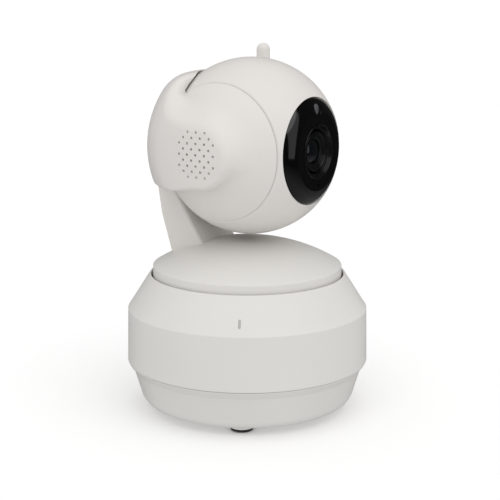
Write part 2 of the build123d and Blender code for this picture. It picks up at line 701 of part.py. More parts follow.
SUNK_SCREW = (1.7, 1.0, 0.75, 5.0)       # head radius and height, shank radius and length
with BuildPart() as turntable_screws:
    with Locations(Location((0, 0, PLATE_Z))):
        with cover_spots():
            add(sunk_screw(*SUNK_SCREW))
        with Locations((0, BRACKET_FOOT_Y)):
            with bracket_spots():
                add(sunk_screw(*SUNK_SCREW))
    with Locations(Location((0, 0, PLATE_Z - GEAR_H))):
        with gear_spots():
            add(sunk_screw(*SUNK_SCREW))
save(turntable_screws.part, "turntable_screws")

# ---- steel bracket inside the neck, from the plate to the yoke
BRACKET_T, BRACKET_HALF = 1.6, 6.8
bracket_foot_z = PLATE_Z + PLATE_T
with BuildPart() as neck_bracket:
    with BuildSketch(Plane.YZ):
        with BuildLine():
            Polyline((14.6, bracket_foot_z), (23.4, bracket_foot_z), (23.4, bracket_foot_z + BRACKET_T),
                     (19.6, bracket_foot_z + BRACKET_T), (19.6, 57), (27.4, 76.4), (25.8, 76.8),
                     (18.0, 57.4), (18.0, bracket_foot_z + BRACKET_T), (14.6, bracket_foot_z + BRACKET_T),
                     close=True)
        make_face()
    extrude(amount=BRACKET_HALF, both=True)
    with BuildSketch(Plane.XY.offset(bracket_foot_z)):
        with Locations((0, BRACKET_FOOT_Y)):
            with bracket_spots():
                Circle(PILOT_R)
    extrude(amount=BRACKET_T, mode=Mode.SUBTRACT)
save(neck_bracket.part, "neck_bracket")


# ================================================================ YOKE
ANTENNA_PIN_R = 1.2
GRILLE_PITCH, GRILLE_ROW, GRILLE_R, GRILLE_HOLE_R = 3.4, 1.87, 8.4, 0.46
TILT_SHAFT_R = 1.5


def side_outline():
    """The side view of the hood and the pod as a sketch on side_plane."""
    nose_u, nose_v = NOSE
    pod_top = (nose_u, nose_v + NOSE_R)
    pod_bottom = (nose_u, nose_v - NOSE_R)
    over = HOOD_TOP + 3
    with BuildSketch(side_plane) as outline:
        with BuildLine():
            Polyline(pod_bottom, (nose_u - 14, HOOD_BOTTOM), (HOOD_BACK, HOOD_BOTTOM), (HOOD_BACK, over),
                     (BRIM[0], over), BRIM)
            Bezier(BRIM, (-12.0, 24.5), (HOOD_WAIST[0], 23.0), HOOD_WAIST)
            Bezier(HOOD_WAIST, (HOOD_WAIST[0], 15.4), (-8.2, pod_top[1]), pod_top)
            ThreePointArc(pod_top, (nose_u + NOSE_R, nose_v), pod_bottom)
        make_face()
    return outline.sketch


def hood_ball():
    """The hood's ball, its top rounded over, turned about the upright line through its centre."""
    low_v = HOOD_BOTTOM - 2
    round_v = HOOD_TOP - HOOD_TOP_R
    round_r = math.sqrt((YOKE_R - HOOD_TOP_R) ** 2 - round_v ** 2)
    meet = Vector(round_r, round_v).normalized() * YOKE_R
    half_way = math.radians(45) + math.atan2(round_v, round_r) / 2
    with BuildPart() as piece:
        with BuildSketch(lens_plane):
            with BuildLine():
                Line((0, low_v), (math.sqrt(YOKE_R ** 2 - low_v ** 2), low_v))
                ThreePointArc((math.sqrt(YOKE_R ** 2 - low_v ** 2), low_v), (YOKE_R, 0), meet)
                ThreePointArc(meet, (round_r + HOOD_TOP_R * math.cos(half_way),
                                     round_v + HOOD_TOP_R * math.sin(half_way)), (round_r, HOOD_TOP))
                Line((round_r, HOOD_TOP), (0, HOOD_TOP))
                Line((0, HOOD_TOP), (0, low_v))
            make_face()
        revolve(axis=Axis(BALL, (0, 0, 1)))
    return piece.part


def yoke_shell(side):
    """One half of the yoke: hood, pod, side cap of the ball and half of the neck; side is -1 or 1."""
    outline = side_outline()
    dome_bottom = Vector(0, 0, DOME_CENTRE_Z)
    with BuildPart() as hood:
        add(hood_ball())
        extrude(outline, amount=POD_FACE, both=True, mode=Mode.INTERSECT)
    cap_low, cap_high = sorted((side * CAP_X, side * (BALL_R - 1)))
    cap = ball_slice(BALL_R, cap_low, cap_high)
    with BuildPart() as neck:
        with BuildSketch(side_plane):
            with BuildLine():
                Polyline(*NECK_SIDE, close=True)
            make_face()
        extrude(amount=NECK_HALF, both=True)
        fillet([edge for edge in neck.edges().filter_by(GeomType.LINE)
                if abs(abs(edge.center().X) - NECK_HALF) < 0.01 and edge.length > 20], 2.5)
        with Locations(dome_bottom):
            Sphere(DOME_BALL_R, mode=Mode.SUBTRACT)
    ball_room = ball_slice(YOKE_CLEAR_R, -CAP_X, CAP_X)
    with BuildPart() as pocket:
        # the hood is a wall with a rim, open towards the ball
        add(ball_slice(YOKE_R - WALL - 0.2, -19.5, 19.5))
        with Locations(BALL + Vector(side * 9.5, 31.8, 6.4)):
            Box(19, 40, 34, mode=Mode.INTERSECT)
    room_low, room_high = sorted((side * EAR_BACK, side * (BALL_R - 4)))
    ear_room = ball_slice(BALL_R - 1.8, room_low, room_high)
    with BuildPart() as shell:
        add(hood.part)
        add(cap)
        add(neck.part)
        add(ball_room, mode=Mode.SUBTRACT)
        if side > 0:
            with BuildSketch(hinge_plane.offset(27)):
                Circle(KNUCKLE_R)
            extrude(amount=HINGE_FACE - 27)
            with BuildSketch(hinge_plane.offset(24)):
                Circle(ANTENNA_PIN_R)
            extrude(amount=10, mode=Mode.SUBTRACT)
        # the half on this side of the middle
        with Locations((side * 50, 0, 90)):
            Box(100, 200, 120, mode=Mode.INTERSECT)
        add(pocket.part, mode=Mode.SUBTRACT)
        # neck: hollow for the bracket and the wires
        with BuildSketch(side_plane):
            with BuildLine():
                Polyline(*NECK_ROOM, close=True)
            make_face()
        extrude(amount=8, both=True, mode=Mode.SUBTRACT)
        # ear: recess for the bearing plate, the room behind it and a way for the wires
        with BuildSketch(ear_plane(side, CAP_X)):
            Circle(BEARING_PLATE_R)
        extrude(amount=EAR_BACK - CAP_X, mode=Mode.SUBTRACT)
        add(ear_room, mode=Mode.SUBTRACT)
        with BuildSketch(ear_plane(side, EAR_BACK)):
            with PolarLocations(EAR_RING_R, 3, start_angle=90):
                Circle(2.0)
        extrude(amount=2.1)
        with BuildSketch(ear_plane(side, EAR_BACK)):
            with PolarLocations(EAR_RING_R, 3, start_angle=90):
                Circle(0.8)
        extrude(amount=1.9, mode=Mode.SUBTRACT)
        with BuildSketch(ear_plane(side, EAR_BACK)):
            Circle(EAR_R)
        extrude(amount=EAR_END - EAR_BACK, mode=Mode.SUBTRACT)
        with Locations(BALL + Vector(side * 20, 20, 0)):
            Box(4, 10, 7, mode=Mode.SUBTRACT)
        if side < 0:
            with BuildSketch(side_plane.offset(EAR_END - 0.5)):
                with Locations((0.5, 0.8)):
                    for row in range(-4, 5):
                        for column in range(-3, 4):
                            across = GRILLE_PITCH * (column + (row % 2) / 2)
                            up = GRILLE_ROW * row
                            if math.hypot(across, up) < GRILLE_R:
                                with Locations((across, up)):
                                    Circle(GRILLE_HOLE_R)
            extrude(amount=4, mode=Mode.SUBTRACT)
    return shell.part


right_shell = yoke_shell(-1)
left_shell = yoke_shell(1)
save(right_shell, "yoke_right_shell")
save(left_shell, "yoke_left_shell")

# ---- bearing plates that close the ears and carry the head's trunnions
for side, name in ((-1, "right_bearing_plate"), (1, "left_bearing_plate")):
    with BuildPart() as bearing_plate:
        with BuildSketch(ear_plane(side, CAP_X)):
            Circle(BEARING_PLATE_R - 0.05)
            Circle(TRUNNION_R + FIT, mode=Mode.SUBTRACT)
            with PolarLocations(EAR_RING_R, 3, start_angle=90):
                Circle(0.8, mode=Mode.SUBTRACT)
            if side > 0:
                with Locations((-7, 0), (7, 0)):
                    Circle(0.8, mode=Mode.SUBTRACT)
        extrude(amount=EAR_BACK - CAP_X)
        with BuildSketch(ear_plane(side, CAP_X)):
            with PolarLocations(EAR_RING_R, 3, start_angle=90):
                Circle(1.6)
            if side > 0:
                with Locations((-7, 0), (7, 0)):
                    Circle(1.6)
        extrude(amount=0.8, taper=45, mode=Mode.SUBTRACT)
    save(bearing_plate.part, name)

EAR_SCREW = (1.6, 0.8, 0.8, 3.4)         # head radius and height, shank radius and length
with BuildPart() as ear_screws:
    for side in (-1, 1):
        with Locations(ear_plane(side, CAP_X)):
            with PolarLocations(EAR_RING_R, 3, start_angle=90):
                add(sunk_screw(*EAR_SCREW))
    with Locations(ear_plane(1, CAP_X)):
        with Locations((-7, 0), (7, 0)):
            add(sunk_screw(*EAR_SCREW))
save(ear_screws.part, "ear_screws")

# ---- speaker behind the grille of the right ear
SPEAKER_BACK, SPEAKER_R, MAGNET_R, MAGNET_H = 28.2, 9.7, 6.6, 3.4
with BuildPart() as speaker_frame:
    with BuildSketch(ear_plane(-1, SPEAKER_BACK)):
        Circle(SPEAKER_R)
    extrude(amount=EAR_END - SPEAKER_BACK - 0.1)
    with BuildSketch(ear_plane(-1, EAR_END - 0.1)):
        Circle(8.6)
    extrude(amount=-2.6, taper=18, mode=Mode.SUBTRACT)
    with BuildSketch(ear_plane(-1, SPEAKER_BACK)):
        Circle(4.2)
    extrude(amount=4, mode=Mode.SUBTRACT)
save(speaker_frame.part, "speaker_frame")

with BuildPart() as speaker_magnet:
    with BuildSketch(ear_plane(-1, SPEAKER_BACK - MAGNET_H)):
        Circle(MAGNET_R)
    extrude(amount=MAGNET_H)
    fillet(circle_edges(speaker_magnet, MAGNET_R), 0.5)
save(speaker_magnet.part, "speaker_magnet")

CONE_X = 29.9                # distance of the cone's lowest point from the middle
with BuildPart() as speaker_cone:
    with BuildSketch(ear_turning_plane):
        with BuildLine():
            Polyline((0, CONE_X + 0.9), (2.6, CONE_X + 0.2), (3.6, CONE_X), (6.8, CONE_X + 1.5),
                     (8.0, CONE_X + 1.5), (8.0, CONE_X + 1.8), (6.6, CONE_X + 1.8),
                     (3.6, CONE_X + 0.35), (2.6, CONE_X + 0.55), (0, CONE_X + 1.25), close=True)
        make_face()
    revolve(axis=tilt_axis)
save(speaker_cone.part, "speaker_cone")

# ---- tilt motor in the left ear, held by two of the ear screws
TILT_MOTOR_R, TILT_MOTOR_H = 9.8, 9.4
with BuildPart() as tilt_motor:
    with BuildSketch(ear_plane(1, EAR_BACK)):
        Circle(TILT_MOTOR_R)
    extrude(amount=TILT_MOTOR_H)
    fillet(circle_edges(tilt_motor, TILT_MOTOR_R)[-1], 0.8)
    with BuildSketch(ear_plane(1, EAR_BACK)):
        Circle(TRUNNION_R + 0.3)
    extrude(amount=0.4, mode=Mode.SUBTRACT)
    with BuildSketch(ear_plane(1, EAR_BACK)):
        Circle(TILT_SHAFT_R + FIT)
        with Locations((-7, 0), (7, 0)):
            Circle(0.8)
    extrude(amount=4.6, mode=Mode.SUBTRACT)
save(tilt_motor.part, "tilt_motor")

# ================================================================ HEAD, the tilting slice of the ball
SIDE_WALL = 1.8              # the flat sides that carry the trunnions
BOSS_SPOTS = [(-14.2, 15.5), (14.2, 15.5), (-14.2, -15.5), (14.2, -15.5)]
head_core_half = HEAD_HALF - SIDE_WALL

with BuildPart() as head_front_shell:
    add(ball_slice(BALL_R, -HEAD_HALF, HEAD_HALF))
    add(ball_slice(BALL_R - WALL, -head_core_half, head_core_half), mode=Mode.SUBTRACT)
    with BuildSketch(lens_plane.offset(FACE_SEAT - 1.2)):
        Circle(18.6)
    extrude(amount=1.2)
    for side in (-1, 1):
        with BuildSketch(ear_plane(side, head_core_half)):
            Circle(TRUNNION_R)
        extrude(amount=SIDE_WALL, mode=Mode.SUBTRACT)
    with BuildSketch(lens_plane.offset(BRACKET_L + 1.5)):
        with Locations(*BOSS_SPOTS):
            Circle(2.2)
    extrude(amount=14)
    with BuildSketch(lens_plane.offset(BRACKET_L + 1.5)):
        with Locations(*BOSS_SPOTS):
            Circle(0.9)
    extrude(amount=9, mode=Mode.SUBTRACT)
    with BuildSketch(lens_plane.offset(FACE_SEAT - 2)):
        Circle(16.4)
    extrude(amount=10, mode=Mode.SUBTRACT)
    with BuildSketch(lens_plane.offset(FACE_SEAT)):
        Circle(FACE_HOLE_R)
    extrude(amount=10, mode=Mode.SUBTRACT)
    split(bisect_by=lens_plane.offset(HEAD_SPLIT))
save(head_front_shell.part, "head_front_shell")

with BuildPart() as head_rear_shell:
    add(ball_slice(BALL_R, -HEAD_HALF, HEAD_HALF))
    add(ball_slice(BALL_R - WALL, -head_core_half, head_core_half), mode=Mode.SUBTRACT)
    split(bisect_by=lens_plane.offset(HEAD_SPLIT), keep=Keep.BOTTOM)
save(head_rear_shell.part, "head_rear_shell")

# ---- glossy face cover, dished to the ball, open round the lens
with BuildPart() as face_cover:
    with BuildSketch(turning_plane):
        with BuildLine():
            Line((LENS_HOLE_R, FACE_FRONT), (FACE_FLAT_R, FACE_FRONT))
            RadiusArc((FACE_FLAT_R, FACE_FRONT), (FACE_R, FACE_SEAT + 0.5), BALL_R - 0.6)
            Polyline((FACE_R, FACE_SEAT + 0.5), (FACE_R, FACE_SEAT), (16.6, FACE_SEAT),
                     (FACE_FLAT_R - 0.6, FACE_FRONT - 1.5), (LENS_HOLE_R, FACE_FRONT - 1.5),
                     (LENS_HOLE_R, FACE_FRONT))
        make_face()
    revolve(axis=lens_axis)
    with BuildSketch(lens_plane.offset(FACE_FRONT)):
        with Locations((0, -11.4)):
            Circle(0.5)
        with Locations((0, WINDOW_V)):
            Circle(WINDOW_R)
    extrude(amount=-4, mode=Mode.SUBTRACT)
save(face_cover.part, "face_cover")

# ---- domed window of the light sensor, set in the face's bevel
with BuildPart() as sensor_window:
    with BuildSketch(lens_plane.offset(FACE_FRONT - 2.9)):
        with Locations((0, WINDOW_V)):
            Circle(WINDOW_R)
    extrude(amount=2.2)
    fillet(sensor_window.edges().group_by(Axis.Y)[0], 0.8)
save(sensor_window.part, "sensor_window")

with BuildPart() as lens_ring:
    with BuildSketch(turning_plane):
        with BuildLine():
            Polyline((LENS_HOLE_R, FACE_FRONT - 0.1), (LENS_HOLE_R - 0.5, FACE_FRONT - 0.1),
                     (LENS_RING_R + 0.3, FACE_FRONT - 1.6), (LENS_RING_R, FACE_FRONT - 1.6),
                     (LENS_RING_R, FACE_FRONT - 3.2), (LENS_HOLE_R + 0.8, FACE_FRONT - 3.2),
                     (LENS_HOLE_R + 0.8, FACE_FRONT - 1.5), (LENS_HOLE_R, FACE_FRONT - 1.5), close=True)
        make_face()
    revolve(axis=lens_axis)
save(lens_ring.part, "lens_ring")

# ---- lens: threaded barrel in its holder, front and rear glass
with BuildPart() as lens_barrel:
    with BuildSketch(turning_plane):
        with BuildLine():
            Polyline((6.0, 10.5), (6.0, 20.0), (BARREL_R, 20.0), (BARREL_R, FACE_FRONT - 1.2),
                     (BARREL_R - 0.4, FACE_FRONT - 0.8), (6.2, FACE_FRONT - 0.8), (4.9, FACE_FRONT - 1.9),
                     (GLASS_R, FACE_FRONT - 1.9), (GLASS_R, 23.0), (3.6, 23.0), (3.6, 10.5), close=True)
        make_face()
    revolve(axis=lens_axis)
save(lens_barrel.part, "lens_barrel")

with BuildPart() as lens_glass:
    with BuildSketch(turning_plane):
        with BuildLine():
            Line((0, 23.2), (GLASS_R, 23.2))
            Line((GLASS_R, 23.2), (GLASS_R, 24.6))
            RadiusArc((GLASS_R, 24.6), (0, 26.0), -dome_radius(GLASS_R, 1.4))
            Line((0, 26.0), (0, 23.2))
        make_face()
    revolve(axis=lens_axis)
save(lens_glass.part, "lens_glass")

with BuildPart() as rear_lens:
    with BuildSketch(turning_plane):
        with BuildLine():
            Line((0, 12.0), (3.6, 12.0))
            Line((3.6, 12.0), (3.6, 13.4))
            RadiusArc((3.6, 13.4), (0, 14.6), -dome_radius(3.6, 1.2))
            Line((0, 14.6), (0, 12.0))
        make_face()
    revolve(axis=lens_axis)
save(rear_lens.part, "rear_lens")

BOARD_FRONT = IMAGE_BOARD_L + 1.2
with BuildPart() as lens_holder:
    with BuildSketch(lens_plane.offset(BOARD_FRONT)):
        RectangleRounded(15, 15, 1)
    extrude(amount=8.8)
    with BuildSketch(lens_plane.offset(BOARD_FRONT)):
        Circle(6.0)
    extrude(amount=8.8, mode=Mode.SUBTRACT)
    with BuildSketch(lens_plane.offset(BOARD_FRONT)):
        Rectangle(11.4, 11.4)
    extrude(amount=3.0, mode=Mode.SUBTRACT)
save(lens_holder.part, "lens_holder")

with BuildPart() as image_sensor:
    with BuildSketch(lens_plane.offset(BOARD_FRONT)):
        Rectangle(9, 9)
    extrude(amount=1.0)
save(image_sensor.part, "image_sensor")

with BuildPart() as image_board:
    with BuildSketch(lens_plane.offset(IMAGE_BOARD_L)):
        RectangleRounded(23, 26, 1.5)
    extrude(amount=1.2)
save(image_board.part, "image_board")

# ---- bracket that carries the image board and is screwed to the front shell's bosses
with BuildPart() as camera_bracket:
    with BuildSketch(lens_plane.offset(BRACKET_L)):
        RectangleRounded(32.4, 36, 2)
        RectangleRounded(14, 16, 2, mode=Mode.SUBTRACT)
        with Locations(*BOSS_SPOTS):
            Circle(1.1, mode=Mode.SUBTRACT)
    extrude(amount=1.5)
    with BuildSketch(lens_plane.offset(BRACKET_L + 1.5)):
        with GridLocations(19, 22, 2, 2):
            Circle(1.4)
    extrude(amount=0.5)
save(camera_bracket.part, "camera_bracket")

with BuildPart() as bracket_screws:
    with Locations(lens_plane.offset(BRACKET_L)):
        with Locations(*BOSS_SPOTS):
            add(pan_screw(1.9, 1.1, 0.9, 8))
save(bracket_screws.part, "bracket_screws")

# ---- ring board behind the face with its infrared lamps, light sensor and microphone
INFRARED_R, LAMPS, LAMP_RING_R, LAMP_R = 15.6, 8, 12.6, 1.5
IR_FRONT = IR_BOARD_L + 1.2
with BuildPart() as infrared_board:
    with BuildSketch(lens_plane.offset(IR_BOARD_L)):
        Circle(INFRARED_R)
        Circle(8.0, mode=Mode.SUBTRACT)
    extrude(amount=1.2)
save(infrared_board.part, "infrared_board")

with BuildPart() as infrared_leds:
    with BuildSketch(lens_plane.offset(IR_FRONT)):
        with PolarLocations(LAMP_RING_R, LAMPS, start_angle=22.5):
            Circle(LAMP_R)
    extrude(amount=2.6)
    fillet(infrared_leds.edges().group_by(Axis.Y)[0], 1.2)
save(infrared_leds.part, "infrared_leds")

with BuildPart() as light_sensor:
    with BuildSketch(lens_plane.offset(IR_FRONT)):
        with Locations((0, 13.4)):
            RectangleRounded(3.0, 2.4, 0.3)
    extrude(amount=1.8)
save(light_sensor.part, "light_sensor")

with BuildPart() as microphone:
    with BuildSketch(lens_plane.offset(IR_FRONT)):
        with Locations((0, -12.4)):
            Circle(2.0)
    extrude(amount=2.0)
save(microphone.part, "microphone")

# ---- trunnions: a hollow one for the wires on the right, the driven one on the left
FLANGE_T, FLANGE_R = 1.5, 7.0
FLANGE_IN = head_core_half - FLANGE_T
with BuildPart() as wire_trunnion:
    with BuildSketch(ear_plane(-1, FLANGE_IN)):
        Circle(FLANGE_R)
    extrude(amount=FLANGE_T)
    with BuildSketch(ear_plane(-1, head_core_half)):
        Circle(TRUNNION_R)
    extrude(amount=23.6 - head_core_half)
    with BuildSketch(ear_plane(-1, FLANGE_IN)):
        Circle(TRUNNION_R - 1.3)
    extrude(amount=12, mode=Mode.SUBTRACT)
save(wire_trunnion.part, "wire_trunnion")

with BuildPart() as drive_trunnion:
    with BuildSketch(ear_plane(1, FLANGE_IN)):
        Circle(FLANGE_R)
    extrude(amount=FLANGE_T)
    with BuildSketch(ear_plane(1, head_core_half)):
        Circle(TRUNNION_R)
    extrude(amount=EAR_BACK - head_core_half)
    with BuildSketch(ear_plane(1, FLANGE_IN)):
        Circle(TILT_SHAFT_R)
    extrude(amount=12, mode=Mode.SUBTRACT)
save(drive_trunnion.part, "drive_trunnion")

with BuildPart() as tilt_shaft:
    with BuildSketch(ear_plane(1, FLANGE_IN)):
        Circle(TILT_SHAFT_R)
    extrude(amount=EAR_BACK + 4 - FLANGE_IN)
save(tilt_shaft.part, "tilt_shaft")

# ================================================================ ANTENNA
with BuildPart() as antenna:
    with BuildSketch(hinge_plane.offset(HINGE_FACE + 0.3)):
        Circle(KNUCKLE_R)
    extrude(amount=2 * (ANTENNA_X - HINGE_FACE - 0.3))
    fillet(circle_edges(antenna, KNUCKLE_R), 0.5)
    with BuildSketch(Plane((ANTENNA_X, ANTENNA_Y, ANTENNA_HINGE_Z))):
        Circle(ANTENNA_R)
    extrude(amount=ANTENNA_TOP - ANTENNA_HINGE_Z)
    fillet(antenna.edges().group_by(Axis.Z)[-1], ANTENNA_R - 0.05)
    with BuildSketch(hinge_plane.offset(HINGE_FACE)):
        Circle(ANTENNA_PIN_R + FIT)
    extrude(amount=5.2, mode=Mode.SUBTRACT)
save(antenna.part, "antenna")

PIN_START, PIN_END = 25.0, HINGE_FACE + 5.0
with BuildPart() as antenna_pin:
    with BuildSketch(hinge_plane.offset(PIN_START)):
        Circle(ANTENNA_PIN_R)
    extrude(amount=PIN_END - PIN_START)
    fillet(antenna_pin.edges().group_by(Axis.X)[-1], 0.3)
save(antenna_pin.part, "antenna_pin")
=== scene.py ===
"""The looks of the pan and tilt baby monitor camera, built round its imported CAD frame.

The object's lengths are in millimetres in its own frame, and turn into metres as a mesh is made. The
stage, the lights and the camera are placed in metres. In the yoke's outlines u is forward along the
lens and v is up, both from the ball's centre.
"""

import json
import math

import bpy
import numpy as np
import openvdb
from mathutils import Matrix, Vector


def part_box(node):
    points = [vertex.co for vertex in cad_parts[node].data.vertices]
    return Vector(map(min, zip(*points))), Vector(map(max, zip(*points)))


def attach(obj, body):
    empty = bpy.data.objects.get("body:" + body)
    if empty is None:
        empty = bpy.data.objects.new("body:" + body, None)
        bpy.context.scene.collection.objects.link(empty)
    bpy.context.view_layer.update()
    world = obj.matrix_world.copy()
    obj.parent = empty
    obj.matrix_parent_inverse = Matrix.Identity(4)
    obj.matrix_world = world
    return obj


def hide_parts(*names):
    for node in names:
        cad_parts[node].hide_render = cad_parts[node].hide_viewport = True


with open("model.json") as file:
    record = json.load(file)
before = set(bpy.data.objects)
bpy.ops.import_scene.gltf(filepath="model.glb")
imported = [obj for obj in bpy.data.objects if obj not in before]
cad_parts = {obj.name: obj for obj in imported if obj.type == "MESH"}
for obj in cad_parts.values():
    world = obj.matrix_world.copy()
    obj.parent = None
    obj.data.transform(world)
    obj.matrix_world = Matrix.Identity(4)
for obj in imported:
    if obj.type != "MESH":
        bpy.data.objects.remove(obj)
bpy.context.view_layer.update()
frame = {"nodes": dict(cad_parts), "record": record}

MM = 0.001
SEGMENTS, FINE_SEGMENTS, SMALL_SEGMENTS = 192, 256, 64       # round a turned piece
ARC_STEPS = 8                                 # in a profile's fillet
SAME_POINT, ON_AXIS = 1e-4, 1e-6              # tolerances of a turned profile

# ---------------------------------------------------------------- places read from the frame
joints = {joint["name"]: joint for joint in frame["record"]["behaviour"]["joints"]}
mounts = {mount["name"]: mount for mount in frame["record"]["mounts"]}


def low(node):
    """The lowest corner of a CAD node."""
    return [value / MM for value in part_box(node)[0]]


def high(node):
    """The highest corner of a CAD node."""
    return [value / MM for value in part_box(node)[1]]


BALL = Vector(joints["tilt"]["pos_m"]) / MM
HINGE = Vector(joints["antenna_fold"]["pos_m"]) / MM
BUTTON_IN = Vector(joints["pairing_button_press"]["axis"])
INLET_OUT = Vector(mounts["power_inlet"]["axis"])
BASE_FRONT = -INLET_OUT                       # the base's own front, opposite to its inlet
BALL_R = high("head_front_shell")[2] - BALL.z
HEAD_HALF = high("head_front_shell")[0]
CAP_X = low("left_bearing_plate")[0]          # inner edge of the yoke's side caps
POD_FACE = high("yoke_left_shell")[0]
SKIRT_R = high("turntable_cover")[0]
DOME_TOP = high("turntable_cover")[2]
ANTENNA_TOP = high("antenna")[2]
PAD_TOP = high("rubber_feet")[2]


# ---------------------------------------------------------------- mesh helpers
def in_metres(points):
    """Points in millimetres as tuples in metres."""
    return [tuple(float(value) * MM for value in point) for point in points]


def new_piece(name, points, faces, body, slot, replaced=()):
    """Makes a mesh object from points in millimetres, on a body, in place of CAD nodes."""
    mesh = bpy.data.meshes.new(name)
    mesh.from_pydata(in_metres(points), [], faces)
    mesh.validate()
    piece = bpy.data.objects.new(name, mesh)
    bpy.context.collection.objects.link(piece)
    piece["body"] = body
    if replaced:
        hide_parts(*replaced)
    return piece


def finish_piece(piece, material, sharp=35):
    """Smooth shading with crisp edges, a material, and the piece's body."""
    mesh = piece.data
    mesh.polygons.foreach_set("use_smooth", [True] * len(mesh.polygons))
    mesh.set_sharp_from_angle(angle=math.radians(sharp))
    mesh.materials.clear()
    mesh.materials.append(material)
    body = piece["body"]
    del piece["body"]
    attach(piece, body)


def rounded(corners, closed=True):
    """A profile through (radius, height, fillet) corners, its fillets as arcs."""
    points = []
    count = len(corners)
    for index, (r, h, fillet) in enumerate(corners):
        here = Vector((r, h))
        if fillet <= 0 or (not closed and index in (0, count - 1)):
            points.append((r, h))
            continue
        before = Vector(corners[index - 1][:2]) - here
        after = Vector(corners[(index + 1) % count][:2]) - here
        half = before.angle(after) / 2
        reach = min(fillet / math.tan(half), before.length * 0.49, after.length * 0.49)
        radius = reach * math.tan(half)
        start = here + before.normalized() * reach
        end = here + after.normalized() * reach
        centre = here + (before.normalized() + after.normalized()).normalized() * (radius / math.sin(half))
        first = start - centre
        sweep = first.angle_signed(end - centre)
        for step in range(ARC_STEPS + 1):
            turned = first.copy()
            turned.rotate(Matrix.Rotation(-sweep * step / ARC_STEPS, 2))
            points.append(tuple(centre + turned))
    return points


def arc(centre, radius, start, end, steps=24):
    """Points on an arc, its angles in degrees."""
    angles = [math.radians(start + (end - start) * step / steps) for step in range(steps + 1)]
    return [(centre[0] + radius * math.cos(a), centre[1] + radius * math.sin(a)) for a in angles]


def turned_mesh(profile, origin, axis, segments=SEGMENTS):
    """Points and faces of a closed profile of (radius, height) turned about an axis."""
    axis = Vector(axis).normalized()
    across = axis.orthogonal().normalized()
    other = axis.cross(across)
    profile = [point for index, point in enumerate(profile)
               if (Vector(point) - Vector(profile[index - 1])).length > SAME_POINT]
    points, rings = [], []
    for r, h in profile:
        centre = Vector(origin) + axis * h
        if r < ON_AXIS:
            rings.append([len(points)])
            points.append(centre)
            continue
        rings.append(list(range(len(points), len(points) + segments)))
        for step in range(segments):
            angle = 2 * math.pi * step / segments
            points.append(centre + (across * math.cos(angle) + other * math.sin(angle)) * r)
    faces = []
    for index, ring in enumerate(rings):
        following = rings[(index + 1) % len(rings)]
        if len(ring) == 1 and len(following) == 1:
            continue
        for step in range(segments):
            ahead = (step + 1) % segments
            if len(ring) == 1:
                faces.append((ring[0], following[step], following[ahead]))
            elif len(following) == 1:
                faces.append((ring[ahead], ring[step], following[0]))
            else:
                faces.append((ring[ahead], ring[step], following[step], following[ahead]))
    area = sum(profile[i - 1][0] * p[1] - p[0] * profile[i - 1][1] for i, p in enumerate(profile))
    if area > 0:
        faces = [tuple(reversed(face)) for face in faces]
    return points, faces


def turned(name, profile, body, slot, replaced=(), origin=(0, 0, 0), axis=(0, 0, 1), segments=SEGMENTS):
    """A piece made by turning a closed profile about an axis."""
    points, faces = turned_mesh(profile, origin, axis, segments)
    return new_piece(name, points, faces, body, slot, replaced)


def joined(parts):
    """The points and faces of several meshes as one."""
    points, faces = [], []
    for part_points, part_faces in parts:
        shift = len(points)
        points += list(part_points)
        faces += [tuple(i + shift for i in face) for face in part_faces]
    return points, faces


def cut(piece, parts, operation="DIFFERENCE"):
    """Applies a boolean between a piece and closed meshes given as (points, faces)."""
    points, faces = joined(parts)
    mesh = bpy.data.meshes.new("cutter")
    mesh.from_pydata(in_metres(points), [], faces)
    cutter = bpy.data.objects.new("cutter", mesh)
    bpy.context.collection.objects.link(cutter)
    modifier = piece.modifiers.new("cut", "BOOLEAN")
    modifier.operation = operation
    modifier.solver = "MANIFOLD"
    modifier.object = cutter
    depsgraph = bpy.context.evaluated_depsgraph_get()
    result = bpy.data.meshes.new_from_object(piece.evaluated_get(depsgraph))
    if len(result.polygons) == 0:
        raise RuntimeError(f"boolean on {piece.name} gave nothing")
    piece.modifiers.clear()
    piece.data = result
    bpy.data.objects.remove(cutter)
    return piece


def prism(outline, centre, side, up, out, depth):
    """A straight bar: outline points (side, up) pushed from centre along out by depth."""
    side, up, out = Vector(side), Vector(up), Vector(out)
    centre = Vector(centre)
    near = [centre + side * a + up * b for a, b in outline]
    points = near + [p + out * depth for p in near]
    count = len(outline)
    faces = [tuple(reversed(range(count))), tuple(range(count, 2 * count))]
    faces += [(i, (i + 1) % count, (i + 1) % count + count, i + count) for i in range(count)]
    if side.cross(up).dot(out) * depth < 0:
        faces = [tuple(reversed(face)) for face in faces]
    return points, faces


def slot_outline(width, height, radius, steps=6):
    """A rounded rectangle round the origin, anticlockwise."""
    points = []
    for sx, sy, start in ((1, 1, 0), (-1, 1, 90), (-1, -1, 180), (1, -1, 270)):
        centre = (sx * (width / 2 - radius), sy * (height / 2 - radius))
        points += arc(centre, radius, start, start + 90, steps)
    return points


def circle(radius, count=48):
    """A circle round the origin, anticlockwise, its first point not repeated."""
    return arc((0, 0), radius, 0, 360 - 360 / count, count - 1)


def square(half):
    """A square round the origin, anticlockwise."""
    return [(-half, -half), (half, -half), (half, half), (-half, half)]


# ---------------------------------------------------------------- material helpers
NOISE_LOW, NOISE_HIGH = 0.3, 0.7              # most of a noise texture lies between these
TINT_LOW, TINT_HIGH = 0.35, 0.65              # where a tint has its dark and its light end
GRAIN = 0.00001                               # depth of fine grain, in metres
POWDER = 0.00003                              # depth of rubber's powdery skin, in metres


